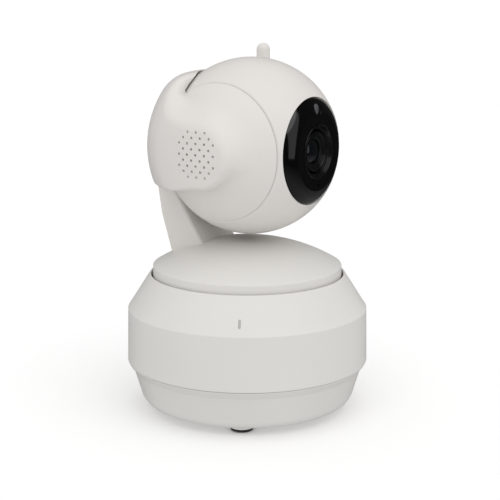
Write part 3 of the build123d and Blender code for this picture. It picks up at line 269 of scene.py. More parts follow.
def shader(name, colour, roughness, metallic=0.0, coat=0.0, coat_roughness=0.1, ior=1.5):
    """A material, with its nodes, its links and its Principled shader."""
    material = bpy.data.materials.new(name)
    material.use_nodes = True
    nodes, links = material.node_tree.nodes, material.node_tree.links
    principled = nodes["Principled BSDF"]
    principled.inputs["Base Color"].default_value = (*colour, 1)
    principled.inputs["Roughness"].default_value = roughness
    principled.inputs["Metallic"].default_value = metallic
    principled.inputs["Coat Weight"].default_value = coat
    principled.inputs["Coat Roughness"].default_value = coat_roughness
    principled.inputs["IOR"].default_value = ior
    return material, nodes, links, principled


def noise(nodes, links, scale, detail=3.0, stretch=(1, 1, 1)):
    """Noise over the object's own coordinates, its scale per metre."""
    place = nodes.new("ShaderNodeTexCoord")
    mapping = nodes.new("ShaderNodeMapping")
    mapping.inputs["Scale"].default_value = stretch
    texture = nodes.new("ShaderNodeTexNoise")
    texture.inputs["Scale"].default_value = scale
    texture.inputs["Detail"].default_value = detail
    links.new(place.outputs["Object"], mapping.inputs["Vector"])
    links.new(mapping.outputs["Vector"], texture.inputs["Vector"])
    return texture


def vary(nodes, links, texture, target, low_value, high_value):
    """Drives a float socket from a texture between two values."""
    spread = nodes.new("ShaderNodeMapRange")
    spread.inputs["From Min"].default_value = NOISE_LOW
    spread.inputs["From Max"].default_value = NOISE_HIGH
    spread.inputs["To Min"].default_value = low_value
    spread.inputs["To Max"].default_value = high_value
    links.new(texture.outputs["Fac"], spread.inputs["Value"])
    links.new(spread.outputs["Result"], target)


def tint(nodes, links, texture, principled, dark, light):
    """Drives the base colour from a texture between two colours."""
    ramp = nodes.new("ShaderNodeValToRGB")
    ramp.color_ramp.elements[0].position = TINT_LOW
    ramp.color_ramp.elements[0].color = (*dark, 1)
    ramp.color_ramp.elements[1].position = TINT_HIGH
    ramp.color_ramp.elements[1].color = (*light, 1)
    links.new(texture.outputs["Fac"], ramp.inputs["Fac"])
    links.new(ramp.outputs["Color"], principled.inputs["Base Color"])


def bumps(nodes, links, texture, principled, distance, strength):
    """Raises the surface by a texture; distance is in metres."""
    bump = nodes.new("ShaderNodeBump")
    bump.inputs["Strength"].default_value = strength
    bump.inputs["Distance"].default_value = distance
    links.new(texture.outputs["Fac"], bump.inputs["Height"])
    links.new(bump.outputs["Normal"], principled.inputs["Normal"])


def moulded(name, colour, roughness=0.4, coat=0.0, gloss=0.5):
    """Moulded plastic: a fine spark-eroded grain, faint flow marks and uneven gloss."""
    material, nodes, links, principled = shader(name, colour, roughness, coat=coat, coat_roughness=0.25)
    principled.inputs["Specular IOR Level"].default_value = gloss
    flow = noise(nodes, links, scale=28, detail=2.0)
    darker = [value * 0.985 for value in colour]
    lighter = [value * 1.01 for value in colour]
    tint(nodes, links, flow, principled, darker, lighter)
    patches = noise(nodes, links, scale=60)
    vary(nodes, links, patches, principled.inputs["Roughness"], roughness - 0.03, roughness + 0.04)
    sparks = noise(nodes, links, scale=2600, detail=2.0)
    bumps(nodes, links, sparks, principled, GRAIN, strength=0.35)
    return material


def metal(name, colour, roughness, stretch=(1, 1, 12)):
    """Plated or brushed metal with fine lines."""
    material, nodes, links, principled = shader(name, colour, roughness, metallic=1.0)
    lines = noise(nodes, links, scale=900, detail=2.0, stretch=stretch)
    vary(nodes, links, lines, principled.inputs["Roughness"], roughness - 0.06, roughness + 0.1)
    bumps(nodes, links, lines, principled, GRAIN, strength=0.3)
    return material


# ---------------------------------------------------------------- materials
BASE_WHITE = (0.744, 0.730, 0.701)
HEAD_WHITE = (0.756, 0.730, 0.702)            # the head's plastic is the warmer
white = moulded("white_plastic", BASE_WHITE, 0.42, gloss=0.2)
white_yoke = moulded("white_yoke_plastic", HEAD_WHITE, 0.42, gloss=0.2)
white_head = moulded("white_head_plastic", HEAD_WHITE, 0.38, gloss=0.25)


def gloss_black():
    """Polished black cover: deep colour, hard coat, the faintest uneven polish."""
    material, nodes, links, principled = shader("gloss_black", (0.002, 0.002, 0.002), 0.12, coat=1.0,
                                                coat_roughness=0.03)
    haze = noise(nodes, links, scale=30, detail=1.0)
    vary(nodes, links, haze, principled.inputs["Roughness"], 0.10, 0.14)
    tint(nodes, links, haze, principled, (0.0016, 0.0016, 0.0018), (0.0024, 0.0024, 0.0027))
    return material


def satin_black(name, roughness):
    """Satin black moulding, as on the lens rings."""
    material, nodes, links, principled = shader(name, (0.006, 0.006, 0.006), roughness)
    grain = noise(nodes, links, scale=1800, detail=2.0)
    vary(nodes, links, grain, principled.inputs["Roughness"], roughness - 0.06, roughness + 0.08)
    bumps(nodes, links, grain, principled, GRAIN, strength=0.3)
    shade = noise(nodes, links, scale=70)
    tint(nodes, links, shade, principled, (0.0045, 0.0045, 0.0045), (0.007, 0.007, 0.007))
    return material


def coated_glass():
    """Lens glass over darkness, its coating drifting between violet and green."""
    material, nodes, links, principled = shader("coated_glass", (0.01, 0.01, 0.014), 0.03, coat=1.0,
                                                coat_roughness=0.0, ior=1.7)
    coating = noise(nodes, links, scale=90, detail=1.0)
    tint(nodes, links, coating, principled, (0.004, 0.0035, 0.007), (0.004, 0.008, 0.0075))
    dust = noise(nodes, links, scale=300, detail=2.0)
    vary(nodes, links, dust, principled.inputs["Roughness"], 0.02, 0.06)
    return material


def rubber():
    """Dark soft rubber with a powdery surface."""
    material, nodes, links, principled = shader("dark_rubber", (0.02, 0.02, 0.02), 0.75)
    powder = noise(nodes, links, scale=900, detail=4.0)
    tint(nodes, links, powder, principled, (0.016, 0.016, 0.016), (0.030, 0.030, 0.029))
    bumps(nodes, links, powder, principled, POWDER, strength=0.4)
    return material


def circuit_board():
    """Green solder mask over a grid of tracks."""
    material, nodes, links, principled = shader("circuit_board", (0.01, 0.09, 0.04), 0.3, coat=0.3)
    place = nodes.new("ShaderNodeTexCoord")
    tracks = nodes.new("ShaderNodeTexBrick")
    tracks.inputs["Scale"].default_value = 420
    tracks.inputs["Mortar Size"].default_value = 0.06
    tracks.inputs["Color1"].default_value = (0.008, 0.085, 0.035, 1)
    tracks.inputs["Color2"].default_value = (0.010, 0.105, 0.045, 1)
    tracks.inputs["Mortar"].default_value = (0.03, 0.17, 0.07, 1)
    links.new(place.outputs["Object"], tracks.inputs["Vector"])
    links.new(tracks.outputs["Color"], principled.inputs["Base Color"])
    return material


black = gloss_black()
ring_black = satin_black("satin_black", 0.24)
SLOT_LOOKS = {
    "white_shell": white,
    "antenna_plastic": white_yoke,
    "black_gloss": black,
    "black_ring": ring_black,
    "lens_glass": coated_glass(),
    "clear_pipe": moulded("clear_pipe_plastic", (0.47, 0.46, 0.43), 0.25),
    "sensor_window": moulded("smoked_plastic", (0.10, 0.10, 0.11), 0.10, coat=1.0),
    "rubber": rubber(),
    "steel": metal("plated_steel", (0.62, 0.62, 0.63), 0.28),
    "motor": metal("nickel_can", (0.6, 0.59, 0.57), 0.34, stretch=(12, 1, 1)),
    "board": circuit_board(),
    "black_part": satin_black("black_part", 0.5),
    "connector": moulded("natural_nylon", (0.72, 0.70, 0.62), 0.5),
    "inner_plastic": moulded("inner_plastic", (0.50, 0.50, 0.49), 0.5),
    "button": moulded("button_plastic", (0.34, 0.34, 0.35), 0.42),
    "microphone": metal("microphone_can", (0.66, 0.66, 0.66), 0.3),
}
for entry in frame["record"]["subparts"]:
    look = SLOT_LOOKS[entry["material_slot"]]
    node_mesh = frame["nodes"][entry["node"]]
    node_mesh.data.materials.clear()
    node_mesh.data.materials.append(look)


# ---------------------------------------------------------------- base
def directions(out):
    """The sideways, upward and outward directions of a port."""
    out = Vector(out)
    return Vector((0, 0, 1)).cross(out), Vector((0, 0, 1)), out


def rotated(direction, degrees):
    """A direction turned about the upright."""
    turn = Matrix.Rotation(math.radians(degrees), 3, "Z")
    return turn @ Vector(direction)


FOOT_RING, BOSS_R, BOSS_LOW, BOSS_TOP = 28.6, 4.4, 1.1, 3.6
PAD_R, PAD_GAP = 3.9, 0.02
FEET_OUT = [rotated(BASE_FRONT, 90 * quarter) for quarter in range(4)]

# the lower shell: a bowl with a wall, a lip at the joint, and a spigot inside the upper shell
BOWL_R, BOWL_TOP_R, LIP_R, SPIGOT_R = 37.2, 40.94, 42.7, 40.8
BOWL_LOW, BOWL_FLOOR, BOWL_TOP, JOINT_Z, SPIGOT_TOP = 2.4, 4.4, 14.8, 17.5, 19.0
lower_profile = rounded([
    (0, BOWL_LOW, 0), (BOWL_R, BOWL_LOW, 5.0), (BOWL_TOP_R, BOWL_TOP, 0.5), (LIP_R, JOINT_Z - 0.3, 0.2),
    (LIP_R, JOINT_Z, 0.1), (SPIGOT_R, JOINT_Z, 0), (SPIGOT_R, SPIGOT_TOP, 0), (SPIGOT_R - 1.6, SPIGOT_TOP, 0),
    (SPIGOT_R - 1.9, BOWL_TOP, 0), (BOWL_R - 1.8, BOWL_FLOOR, 3.0), (0, BOWL_FLOOR, 0)])
base_bowl = turned("base_bowl", lower_profile, "base", "white_shell", ["base_lower_shell"])
boss_profile = rounded([(0, BOSS_LOW, 0), (BOSS_R, BOSS_LOW, 0.35), (BOSS_R, BOSS_TOP, 0), (0, BOSS_TOP, 0)])
bosses = [turned_mesh(boss_profile, spot * FOOT_RING, (0, 0, 1), SMALL_SEGMENTS) for spot in FEET_OUT]
cut(base_bowl, bosses, "UNION")
finish_piece(base_bowl, white)

pad_top = PAD_TOP - PAD_GAP
pad_profile = rounded([(0, 0, 0), (PAD_R, 0, 0.45), (PAD_R, pad_top, 0.1), (0, pad_top, 0)])
pads = joined([turned_mesh(pad_profile, spot * FOOT_RING, (0, 0, 1), SMALL_SEGMENTS) for spot in FEET_OUT])
rubber_pads = new_piece("rubber_pads", *pads, "base", "rubber", ["rubber_feet"])
finish_piece(rubber_pads, SLOT_LOOKS["rubber"])

# the upper shell: an upright band, a sloping shoulder, and a rim round the turntable
BAND_LOW, BAND_HIGH, BASE_WALL = Vector((43.0, 17.62)), Vector((42.63, 36.7)), 2.0
SHOULDER_R, SHOULDER_Z = 41.52, 38.3
RIM_R, BORE_R, RIM_TOP, RIM_FOOT = 34.77, 34.3, 48.96, 46.0
PORT_ROWS = (0.04, 0.23, 0.45)                # shares of the band's height, which keep the ports' cuts local
band_rows = [(*BAND_LOW.lerp(BAND_HIGH, share), 0) for share in PORT_ROWS]
upper_profile = rounded([
    (*BAND_LOW, 0.35), *band_rows, (*BAND_HIGH, 0.45), (SHOULDER_R, SHOULDER_Z, 0.5), (RIM_R, RIM_TOP, 0.4),
    (BORE_R, RIM_TOP, 0.15), (BORE_R, RIM_FOOT, 0), (SHOULDER_R - 2.37, SHOULDER_Z, 0),
    (BAND_HIGH.x - BASE_WALL, BAND_HIGH.y - 1.0, 0), (BAND_LOW.x - BASE_WALL, BAND_LOW.y, 0.1)])
base_band = turned("base_band", upper_profile, "base", "white_shell", ["base_upper_shell"],
                   segments=FINE_SEGMENTS)

# ports: width, height and corner radius of each opening, and how far out its cutter starts and runs
THROUGH_FROM, THROUGH_RUN, RECESS_RUN = 30, 20, 4
USB_Z, USB_HOLE, USB_RECESS, USB_RECESS_FROM = 20.85, (8.2, 3.5, 0.8), (11.4, 6.2, 1.6), 42.0
CARD_Z, CARD_SLOT, CARD_NOTCH, CARD_NOTCH_FROM = 20.25, (12.4, 1.7, 0.4), (5.0, 3.4, 1.2), 42.2
CARD_TURN = -30                               # degrees round the base from the power inlet
BUTTON_Z, BUTTON_HOLE_R = 23.0, 2.55
STATUS_LOW, STATUS_HIGH, STATUS_WIDTH, STATUS_CORNER = 39.2, 41.9, 0.8, 0.38


def port(outline, out, height, start=THROUGH_FROM, run=THROUGH_RUN):
    """A cutter for an opening in the base's wall, at a height."""
    side, up, out = directions(out)
    return prism(outline, out * start + up * height, side, up, out, run)


card_out = rotated(INLET_OUT, CARD_TURN)
status_outline = slot_outline(STATUS_WIDTH, STATUS_HIGH - STATUS_LOW, STATUS_CORNER)
cut(base_band, [
    port(slot_outline(*USB_HOLE), INLET_OUT, USB_Z),
    port(slot_outline(*USB_RECESS), INLET_OUT, USB_Z, USB_RECESS_FROM, RECESS_RUN),
    port(slot_outline(*CARD_SLOT), card_out, CARD_Z),
    port(slot_outline(*CARD_NOTCH), card_out, CARD_Z, CARD_NOTCH_FROM, RECESS_RUN),
    port(circle(BUTTON_HOLE_R), -BUTTON_IN, BUTTON_Z),
    port(status_outline, BASE_FRONT, (STATUS_LOW + STATUS_HIGH) / 2)])
finish_piece(base_band, white)

# the pairing button, by radius and by distance from the base's axis
STEM_R, FLANGE_R, BUTTON_R = 1.0, 3.1, 2.4
BUTTON_BACK, FLANGE_BACK, FLANGE_FRONT, BUTTON_FACE, DISH_FACE = 38.3, 39.3, 40.3, 43.1, 42.9
button_profile = rounded([
    (0, BUTTON_BACK, 0), (STEM_R, BUTTON_BACK, 0.1), (STEM_R, FLANGE_BACK, 0), (FLANGE_R, FLANGE_BACK, 0.1),
    (FLANGE_R, FLANGE_FRONT, 0.1), (BUTTON_R, FLANGE_FRONT, 0), (BUTTON_R, BUTTON_FACE, 0.4),
    (1.6, BUTTON_FACE, 0.3), (1.2, DISH_FACE, 0.4), (0, DISH_FACE, 0)])
button = turned("pairing_button_cap", button_profile, "button", "button", ["pairing_button"],
                origin=(0, 0, BUTTON_Z), axis=-BUTTON_IN, segments=SMALL_SEGMENTS)
finish_piece(button, SLOT_LOOKS["button"])

# ---------------------------------------------------------------- turntable
DOME_EDGE, SKIRT_LOW, DOME_WALL, EDGE_R = 51.94, 44.0, 2, 0.35
dome_rise = DOME_TOP - DOME_EDGE
dome_ball = (SKIRT_R ** 2 + dome_rise ** 2) / (2 * dome_rise)
dome_centre = DOME_TOP - dome_ball


def dome_arc(radius, rim_r, inwards):
    """The dome's line between its middle and a rim, in either direction."""
    steps = 40
    reach = math.asin(rim_r / radius)
    angles = [reach * step / steps for step in range(steps + 1)]
    line = [(radius * math.sin(a), dome_centre + radius * math.cos(a)) for a in angles]
    return line[::-1] if inwards else line


outer_line = dome_arc(dome_ball, SKIRT_R - 0.4, True)
inner_line = dome_arc(dome_ball - DOME_WALL, SKIRT_R - DOME_WALL, False)
dome_rim = rounded([(SKIRT_R, SKIRT_LOW, 0), (SKIRT_R, DOME_EDGE, EDGE_R), (*outer_line[2], 0)], closed=False)
dome_profile = dome_rim[:-1] + outer_line[2:] + inner_line + [(SKIRT_R - DOME_WALL, SKIRT_LOW)]
turntable_dome = turned("turntable_dome", dome_profile, "turntable", "white_shell", ["turntable_cover"],
                        segments=FINE_SEGMENTS)
finish_piece(turntable_dome, white)


# ---------------------------------------------------------------- yoke, as a distance field
YOKE_R, YOKE_CLEAR_R = 36.3, 31.6             # the hood's outside, and the ball's room inside it
NOSE, NOSE_R = (0.4, 0.3), 11.9               # the pod's round end in side view
HOOD_TOP, HOOD_TOP_R, HOOD_BOTTOM = 25.8, 14.0, -12.8
BRIM, HOOD_WAIST = (-9.0, 24.9), (-13.6, 20.2)
NECK_HALF = 10.5
NECK_SIDE = [(-34.3, -12.0), (-32.1, -25.6), (-27.4, -40.6), (-11.7, -40.6), (-13.3, -36.1), (-28.8, -12.0)]
HINGE_BOSS_R, HINGE_BOSS_FROM, HINGE_BOSS_TO = 3.6, 25, 32.45
VOXEL, FIELD_DEPTH = 0.4, 4.0                 # the field's step, and how many steps deep it is kept
HALF_GAP = 0.04                               # half the seam between the yoke's halves


def soft_min(a, b, k):
    """Union of two distances with a fillet about k wide."""
    h = np.clip(0.5 + 0.5 * (b - a) / k, 0, 1)
    return b + (a - b) * h - k * h * (1 - h)


def round_max(a, b, radius):
    """Intersection of two distances, its edge rounded to a radius."""
    inside = np.minimum(np.maximum(a, b), -radius)
    return inside + np.sqrt(np.maximum(a + radius, 0) ** 2 + np.maximum(b + radius, 0) ** 2)


def bezier(p0, p1, p2, p3, steps=24):
    """Points on a cubic curve, without its last point."""
    points = []
    for step in range(steps):
        t = step / steps
        near, far = 1 - t, t
        weights = (near ** 3, 3 * near * near * far, 3 * near * far * far, far ** 3)
        points.append(tuple(sum(w * p[i] for w, p in zip(weights, (p0, p1, p2, p3))) for i in (0, 1)))
    return points


def outline_distance(u, v, corners):
    """Signed distance of a grid of points to a closed outline, negative inside."""
    closest = np.full(u.shape, 1e9)
    inside = np.zeros(u.shape, bool)
    for index, (u0, v0) in enumerate(corners):
        u1, v1 = corners[(index + 1) % len(corners)]
        du, dv = u1 - u0, v1 - v0
        along = np.clip(((u - u0) * du + (v - v0) * dv) / (du * du + dv * dv), 0, 1)
        closest = np.minimum(closest, np.hypot(u - u0 - along * du, v - v0 - along * dv))
        if v0 != v1:
            crossing = (v0 > v) != (v1 > v)
            inside ^= crossing & (u < du * (v - v0) / dv + u0)
    return np.where(inside, -closest, closest)


POD_TOP = (NOSE[0], NOSE[1] + NOSE_R)
SIDE = ([(-45, HOOD_BOTTOM), (-45, HOOD_TOP + 3), (BRIM[0] - 0.2, HOOD_TOP + 3), (BRIM[0], BRIM[1] + 0.6)]
        + bezier(BRIM, (-12.0, 24.5), (HOOD_WAIST[0], 23.0), HOOD_WAIST)
        + bezier(HOOD_WAIST, (HOOD_WAIST[0], 15.4), (-8.2, POD_TOP[1]), POD_TOP)
        + arc(NOSE, NOSE_R, 90, -90, 48)
        + bezier((NOSE[0], NOSE[1] - NOSE_R), (-5.5, -11.7), (-9.0, HOOD_BOTTOM), (-14.0, HOOD_BOTTOM)))


def ramp(value, start, end):
    """Smooth step from 0 at the start to 1 at the end."""
    t = np.clip((value - start) / (end - start), 0, 1)
    return t * t * (3 - 2 * t)


def hood_distance(level, v, from_ball):
    """The hood's ball with its top rounded over, level being the distance from the upright line."""
    round_v = HOOD_TOP - HOOD_TOP_R
    round_r = math.sqrt((YOKE_R - HOOD_TOP_R) ** 2 - round_v ** 2)
    out, over = level - round_r, v - round_v
    edge = np.hypot(out, over) - HOOD_TOP_R
    at_edge = (out > 0) & (over > 0) & (over * round_r > out * round_v)
    return np.where(at_edge, edge, np.where((out <= 0) & (over > 0), v - HOOD_TOP, from_ball - YOKE_R))


def yoke_distance(x, u, v, side):
    """The yoke's half on one side: hood, pod, side cap and neck, and the left one's hinge boss."""
    across = np.abs(x)
    from_ball = np.sqrt(x ** 2 + u ** 2 + v ** 2)
    outline = outline_distance(u[0], v[0], SIDE)[None]
    edge = 1.0 + 3.6 * ramp(v, -9, 14)        # crisp at the bottom, softer towards the brim
    hood = round_max(hood_distance(np.hypot(x, u), v, from_ball), outline, edge)
    hood = round_max(hood, across - POD_FACE, 3.0)
    cap = np.maximum(from_ball - BALL_R, CAP_X - 1.2 - across)
    fillet = 1.5 + 5.0 * ramp(v, -11, -2)     # wide round the pod, narrow under it
    blend = 0.02 + ramp(across, CAP_X, CAP_X + 5) * fillet
    shell = soft_min(hood, cap, blend)
    neck = round_max(outline_distance(u[0], v[0], NECK_SIDE)[None], across - NECK_HALF, 1.0)
    shell = np.minimum(shell, neck)
    if side > 0:
        boss = np.hypot(u + HINGE.y - BALL.y, v - HINGE.z + BALL.z) - HINGE_BOSS_R
        boss = round_max(boss, across - HINGE_BOSS_TO, 0.5)
        boss = np.maximum(boss, HINGE_BOSS_FROM - across)
        shell = soft_min(shell, boss, 1.5)
    return shell


def yoke_half(side, name, node):
    """Meshes one half of the yoke from its distance field, then cuts the ball's room and the grille."""
    x_range = (-1.6, POD_FACE + 1.6)
    u_range, v_range = (-39.0, 24.6), (-43.0, HOOD_TOP + 2)
    counts = [int((b - a) / VOXEL) + 1 for a, b in (x_range, u_range, v_range)]
    grids = [start + VOXEL * np.arange(n) for start, n in zip((x_range[0], u_range[0], v_range[0]), counts)]
    across, u, v = np.meshgrid(*grids, indexing="ij")
    values = yoke_distance(across, u, v, side) / VOXEL
    grid = openvdb.FloatGrid(background=FIELD_DEPTH)
    grid.copyFromArray(np.clip(values, -FIELD_DEPTH, FIELD_DEPTH).astype(np.float32))
    points, triangles, quads = grid.convertToPolygons(isovalue=0.0, adaptivity=0.0)
    points = points * VOXEL + np.array([x_range[0], u_range[0], v_range[0]])
    placed = np.stack([BALL.x + side * points[:, 0], BALL.y - points[:, 1], BALL.z + points[:, 2]], axis=1)
    faces = [tuple(int(i) for i in face) for face in list(triangles) + list(quads)]
    piece = new_piece(name, placed, faces, "turntable", "white_shell", [node])
    outward(piece)
    room_profile = [(0, -CAP_X)] + arc_slice(YOKE_CLEAR_R, CAP_X) + [(0, CAP_X)]
    cut(piece, [turned_mesh(room_profile, BALL, (1, 0, 0), FINE_SEGMENTS)])
    seam = BALL + Vector((side * HALF_GAP, 0, 0))
    cut(piece, [prism(square(60), seam, (0, 1, 0), (0, 0, 1), (-side, 0, 0), 20)])
    if side < 0:
        cut(piece, grille_holes())
    return piece


def outward(piece):
    """Turns the faces of a closed mesh to look outwards."""
    mesh = piece.data
    mesh.calc_loop_triangles()
    volume = 0.0
    for triangle in mesh.loop_triangles:
        a, b, c = (mesh.vertices[i].co for i in triangle.vertices)
        volume += a.dot(b.cross(c))
    if volume < 0:
        mesh.flip_normals()


def arc_slice(radius, half, steps=64):
    """The line of a ball's slice from -half to half as (radius, distance along the tilt axis)."""
    reach = math.asin(half / radius)
    angles = [reach * (2 * step / steps - 1) for step in range(steps + 1)]
    return [(radius * math.cos(a), radius * math.sin(a)) for a in angles]


GRILLE_PITCH, GRILLE_ROW, GRILLE_R, HOLE_R = 3.4, 1.87, 8.4, 0.46
GRILLE_AT = (0.5, 0.8)                        # forward and up from the ball's centre
HOLE_START, HOLE_RUN = 1.0, 1.75              # how far outside the pod's face a hole starts, and its run


def grille_holes():
    """Round holes in staggered rows in the right pod's face."""
    holes = []
    for row in range(-4, 5):
        for column in range(-3, 4):
            forward = GRILLE_PITCH * (column + (row % 2) / 2)
            up = GRILLE_ROW * row
            if math.hypot(forward, up) >= GRILLE_R:
                continue
            place = Vector((-POD_FACE - HOLE_START, -(forward + GRILLE_AT[0]), up + GRILLE_AT[1]))
            holes.append(prism(circle(HOLE_R, 16), BALL + place, (0, 1, 0), (0, 0, 1), (1, 0, 0), HOLE_RUN))
    return holes


yoke_right = yoke_half(-1, "yoke_right", "yoke_right_shell")
yoke_left = yoke_half(1, "yoke_left", "yoke_left_shell")
for half_shell in (yoke_right, yoke_left):
    finish_piece(half_shell, white_yoke, sharp=50)

# ---------------------------------------------------------------- head
SPLIT_U, SPLIT_OVERLAP = -17.5, 0.04          # where the head's shells meet, each a little past it
HEAD_WALL, SIDE_WALL, TRUNNION_HOLE_R, EDGE = 2.0, 1.8, 4.52, 0.25


def head_slice():
    """Closed line of the hollow slice of the ball, its outer edges eased."""
    outside = arc_slice(BALL_R, HEAD_HALF - EDGE)
    rim = math.sqrt(BALL_R ** 2 - HEAD_HALF ** 2)
    inner_half = HEAD_HALF - SIDE_WALL
    inside = arc_slice(BALL_R - HEAD_WALL, inner_half)[::-1]
    return ([(TRUNNION_HOLE_R, -HEAD_HALF), (rim - EDGE, -HEAD_HALF)] + outside
            + [(rim - EDGE, HEAD_HALF), (TRUNNION_HOLE_R, HEAD_HALF), (TRUNNION_HOLE_R, inner_half)]
            + inside + [(TRUNNION_HOLE_R, -inner_half)])


def beyond_split(sign):
    """A block on one side of the joint between the two head shells."""
    centre = BALL + Vector((0, -(SPLIT_U - sign * SPLIT_OVERLAP), 0))
    return prism(square(50), centre, (1, 0, 0), (0, 0, 1), (0, sign, 0), 60)


LENS_OUT = Vector((0, -1, 0))
MOUTH_R, MOUTH_BACK, MOUTH_FRONT = 18.3, 20.0, 40
head_front = turned("head_front", head_slice(), "head", "white_shell", ["head_front_shell"],
                    origin=BALL, axis=(1, 0, 0), segments=FINE_SEGMENTS)
cut(head_front, [beyond_split(1)])
mouth_edge = math.sqrt(BALL_R ** 2 - MOUTH_R ** 2)
mouth = [(0, MOUTH_BACK), (MOUTH_R, MOUTH_BACK), (MOUTH_R, mouth_edge - 0.45),
         (MOUTH_R + 0.06, mouth_edge - 0.25), (MOUTH_R + 0.2, mouth_edge - 0.13),
         (MOUTH_R + 0.5, mouth_edge - 0.2), (MOUTH_R + 0.5, MOUTH_FRONT), (0, MOUTH_FRONT)]
cut(head_front, [turned_mesh(mouth, BALL, LENS_OUT, FINE_SEGMENTS)])
finish_piece(head_front, white_head)

head_rear = turned("head_rear", head_slice(), "head", "white_shell", ["head_rear_shell"],
                   origin=BALL, axis=(1, 0, 0), segments=FINE_SEGMENTS)
cut(head_rear, [beyond_split(-1)])
finish_piece(head_rear, white_head)

# ---------------------------------------------------------------- face and lens, turned about the lens axis
FACE_R, FACE_SEAT, FACE_FRONT, FLAT_R = 18.15, 24.0, 27.3, 13.4
LENS_HOLE_R, FACE_SKIN = 9.4, 1.5
BARREL_R, GLASS_R, BORE = 6.9, 4.3, 3.6


def bulging_line(start, end, bulge, steps=20):
    """A gently bulging line between two (radius, height) points, without its ends."""
    points = []
    for step in range(1, steps):
        t = step / steps
        out = bulge * math.sin(math.pi * t)
        points.append((start[0] + (end[0] - start[0]) * t + out * 0.55,
                       start[1] + (end[1] - start[1]) * t + out))
    return points


BEVEL_TOP, BEVEL_FOOT = (FLAT_R, FACE_FRONT), (FACE_R, FACE_SEAT + 0.35)
face_profile = rounded([(LENS_HOLE_R, FACE_FRONT - FACE_SKIN, 0), (LENS_HOLE_R, FACE_FRONT, 0.3),
                        (*BEVEL_TOP, 0)], closed=False)
face_profile += bulging_line(BEVEL_TOP, BEVEL_FOOT, 0.3)
face_profile += [BEVEL_FOOT, (FACE_R, FACE_SEAT), (16.6, FACE_SEAT), (12.8, FACE_FRONT - FACE_SKIN)]
face = turned("face", face_profile, "head", "black_gloss", ["face_cover"], origin=BALL, axis=LENS_OUT,
              segments=FINE_SEGMENTS)
SENSOR_V, SENSOR_R, MICROPHONE_V, MICROPHONE_HOLE_R = 14.2, 2.1, -11.4, 0.5
sensor_at = BALL + Vector((0, 0, SENSOR_V))
sensor_hole = prism(circle(SENSOR_R), sensor_at + LENS_OUT * (FACE_SEAT - 1.0), (1, 0, 0), (0, 0, 1),
                    LENS_OUT, 6)
cut(face, [sensor_hole])
microphone_at = BALL + Vector((0, 0, MICROPHONE_V)) + LENS_OUT * (FACE_FRONT - 0.8)
cut(face, [prism(circle(MICROPHONE_HOLE_R, 16), microphone_at, (1, 0, 0), (0, 0, 1), LENS_OUT, 5)])
finish_piece(face, black, sharp=16)

RING_R, RING_LIP, RING_SKIRT_R = 9.38, 0.3, 10.2
ring_back = FACE_FRONT - FACE_SKIN - 0.02
ring_profile = rounded([
    (RING_R, FACE_FRONT + RING_LIP, 0.25), (8.8, FACE_FRONT + RING_LIP, 0.2), (8.3, FACE_FRONT - 1.1, 0.3),
    (7.7, FACE_FRONT - 1.1, 0.25), (7.3, FACE_FRONT - 2.0, 0), (7.3, FACE_FRONT - 3.2, 0),
    (RING_SKIRT_R, FACE_FRONT - 3.2, 0), (RING_SKIRT_R, ring_back, 0), (RING_R, ring_back, 0)])
ring = turned("lens_surround", ring_profile, "head", "black_ring", ["lens_ring"], origin=BALL, axis=LENS_OUT)
finish_piece(ring, ring_black, sharp=30)

BARREL_BACK, SHOULDER_AT, GLASS_SEAT, NARROW_R = 10.5, 20.0, 23.0, 6.0
barrel_profile = rounded([
    (NARROW_R, BARREL_BACK, 0), (NARROW_R, SHOULDER_AT, 0), (BARREL_R, SHOULDER_AT, 0), (BARREL_R, 26.3, 0.3),
    (6.3, 26.5, 0.2), (6.0, 26.1, 0.1), (5.6, 26.1, 0.1), (5.5, 25.8, 0.1), (5.1, 25.8, 0.1),
    (5.0, 25.5, 0.1), (4.6, 25.4, 0.1), (GLASS_R, 25.2, 0), (GLASS_R, GLASS_SEAT, 0), (BORE, GLASS_SEAT, 0),
    (BORE, BARREL_BACK, 0)])
barrel = turned("lens_tube", barrel_profile, "head", "black_ring", ["lens_barrel"], origin=BALL,
                axis=LENS_OUT)
finish_piece(barrel, ring_black, sharp=30)

GLASS_BULGE, GLASS_TOP = 1.4, 26.0
glass_r = GLASS_R - 0.02
glass_ball = (glass_r ** 2 + GLASS_BULGE ** 2) / (2 * GLASS_BULGE)
glass_reach = math.degrees(math.asin(glass_r / glass_ball))
glass_profile = ([(0, GLASS_SEAT + 0.2), (glass_r, GLASS_SEAT + 0.2)]
                 + arc((0, GLASS_TOP - glass_ball), glass_ball, 90 - glass_reach, 90, 20))
glass = turned("front_glass", glass_profile, "head", "lens_glass", ["lens_glass"], origin=BALL, axis=LENS_OUT)
finish_piece(glass, SLOT_LOOKS["lens_glass"])

WINDOW_BALL, WINDOW_TOP, WINDOW_SIDE = 4.4, 2.2, 1.5
window_r = SENSOR_R - 0.08
window_reach = math.degrees(math.asin((window_r - 0.25) / WINDOW_BALL))
window_profile = ([(0, 0), (window_r, 0), (window_r, WINDOW_SIDE)]
                  + arc((0, WINDOW_TOP - WINDOW_BALL), WINDOW_BALL, 90 - window_reach, 90, 12))
window = turned("light_sensor_window", window_profile, "head", "sensor_window", ["sensor_window"],
                origin=sensor_at + LENS_OUT * (FACE_FRONT - 2.9), axis=LENS_OUT, segments=SMALL_SEGMENTS)
finish_piece(window, SLOT_LOOKS["sensor_window"])

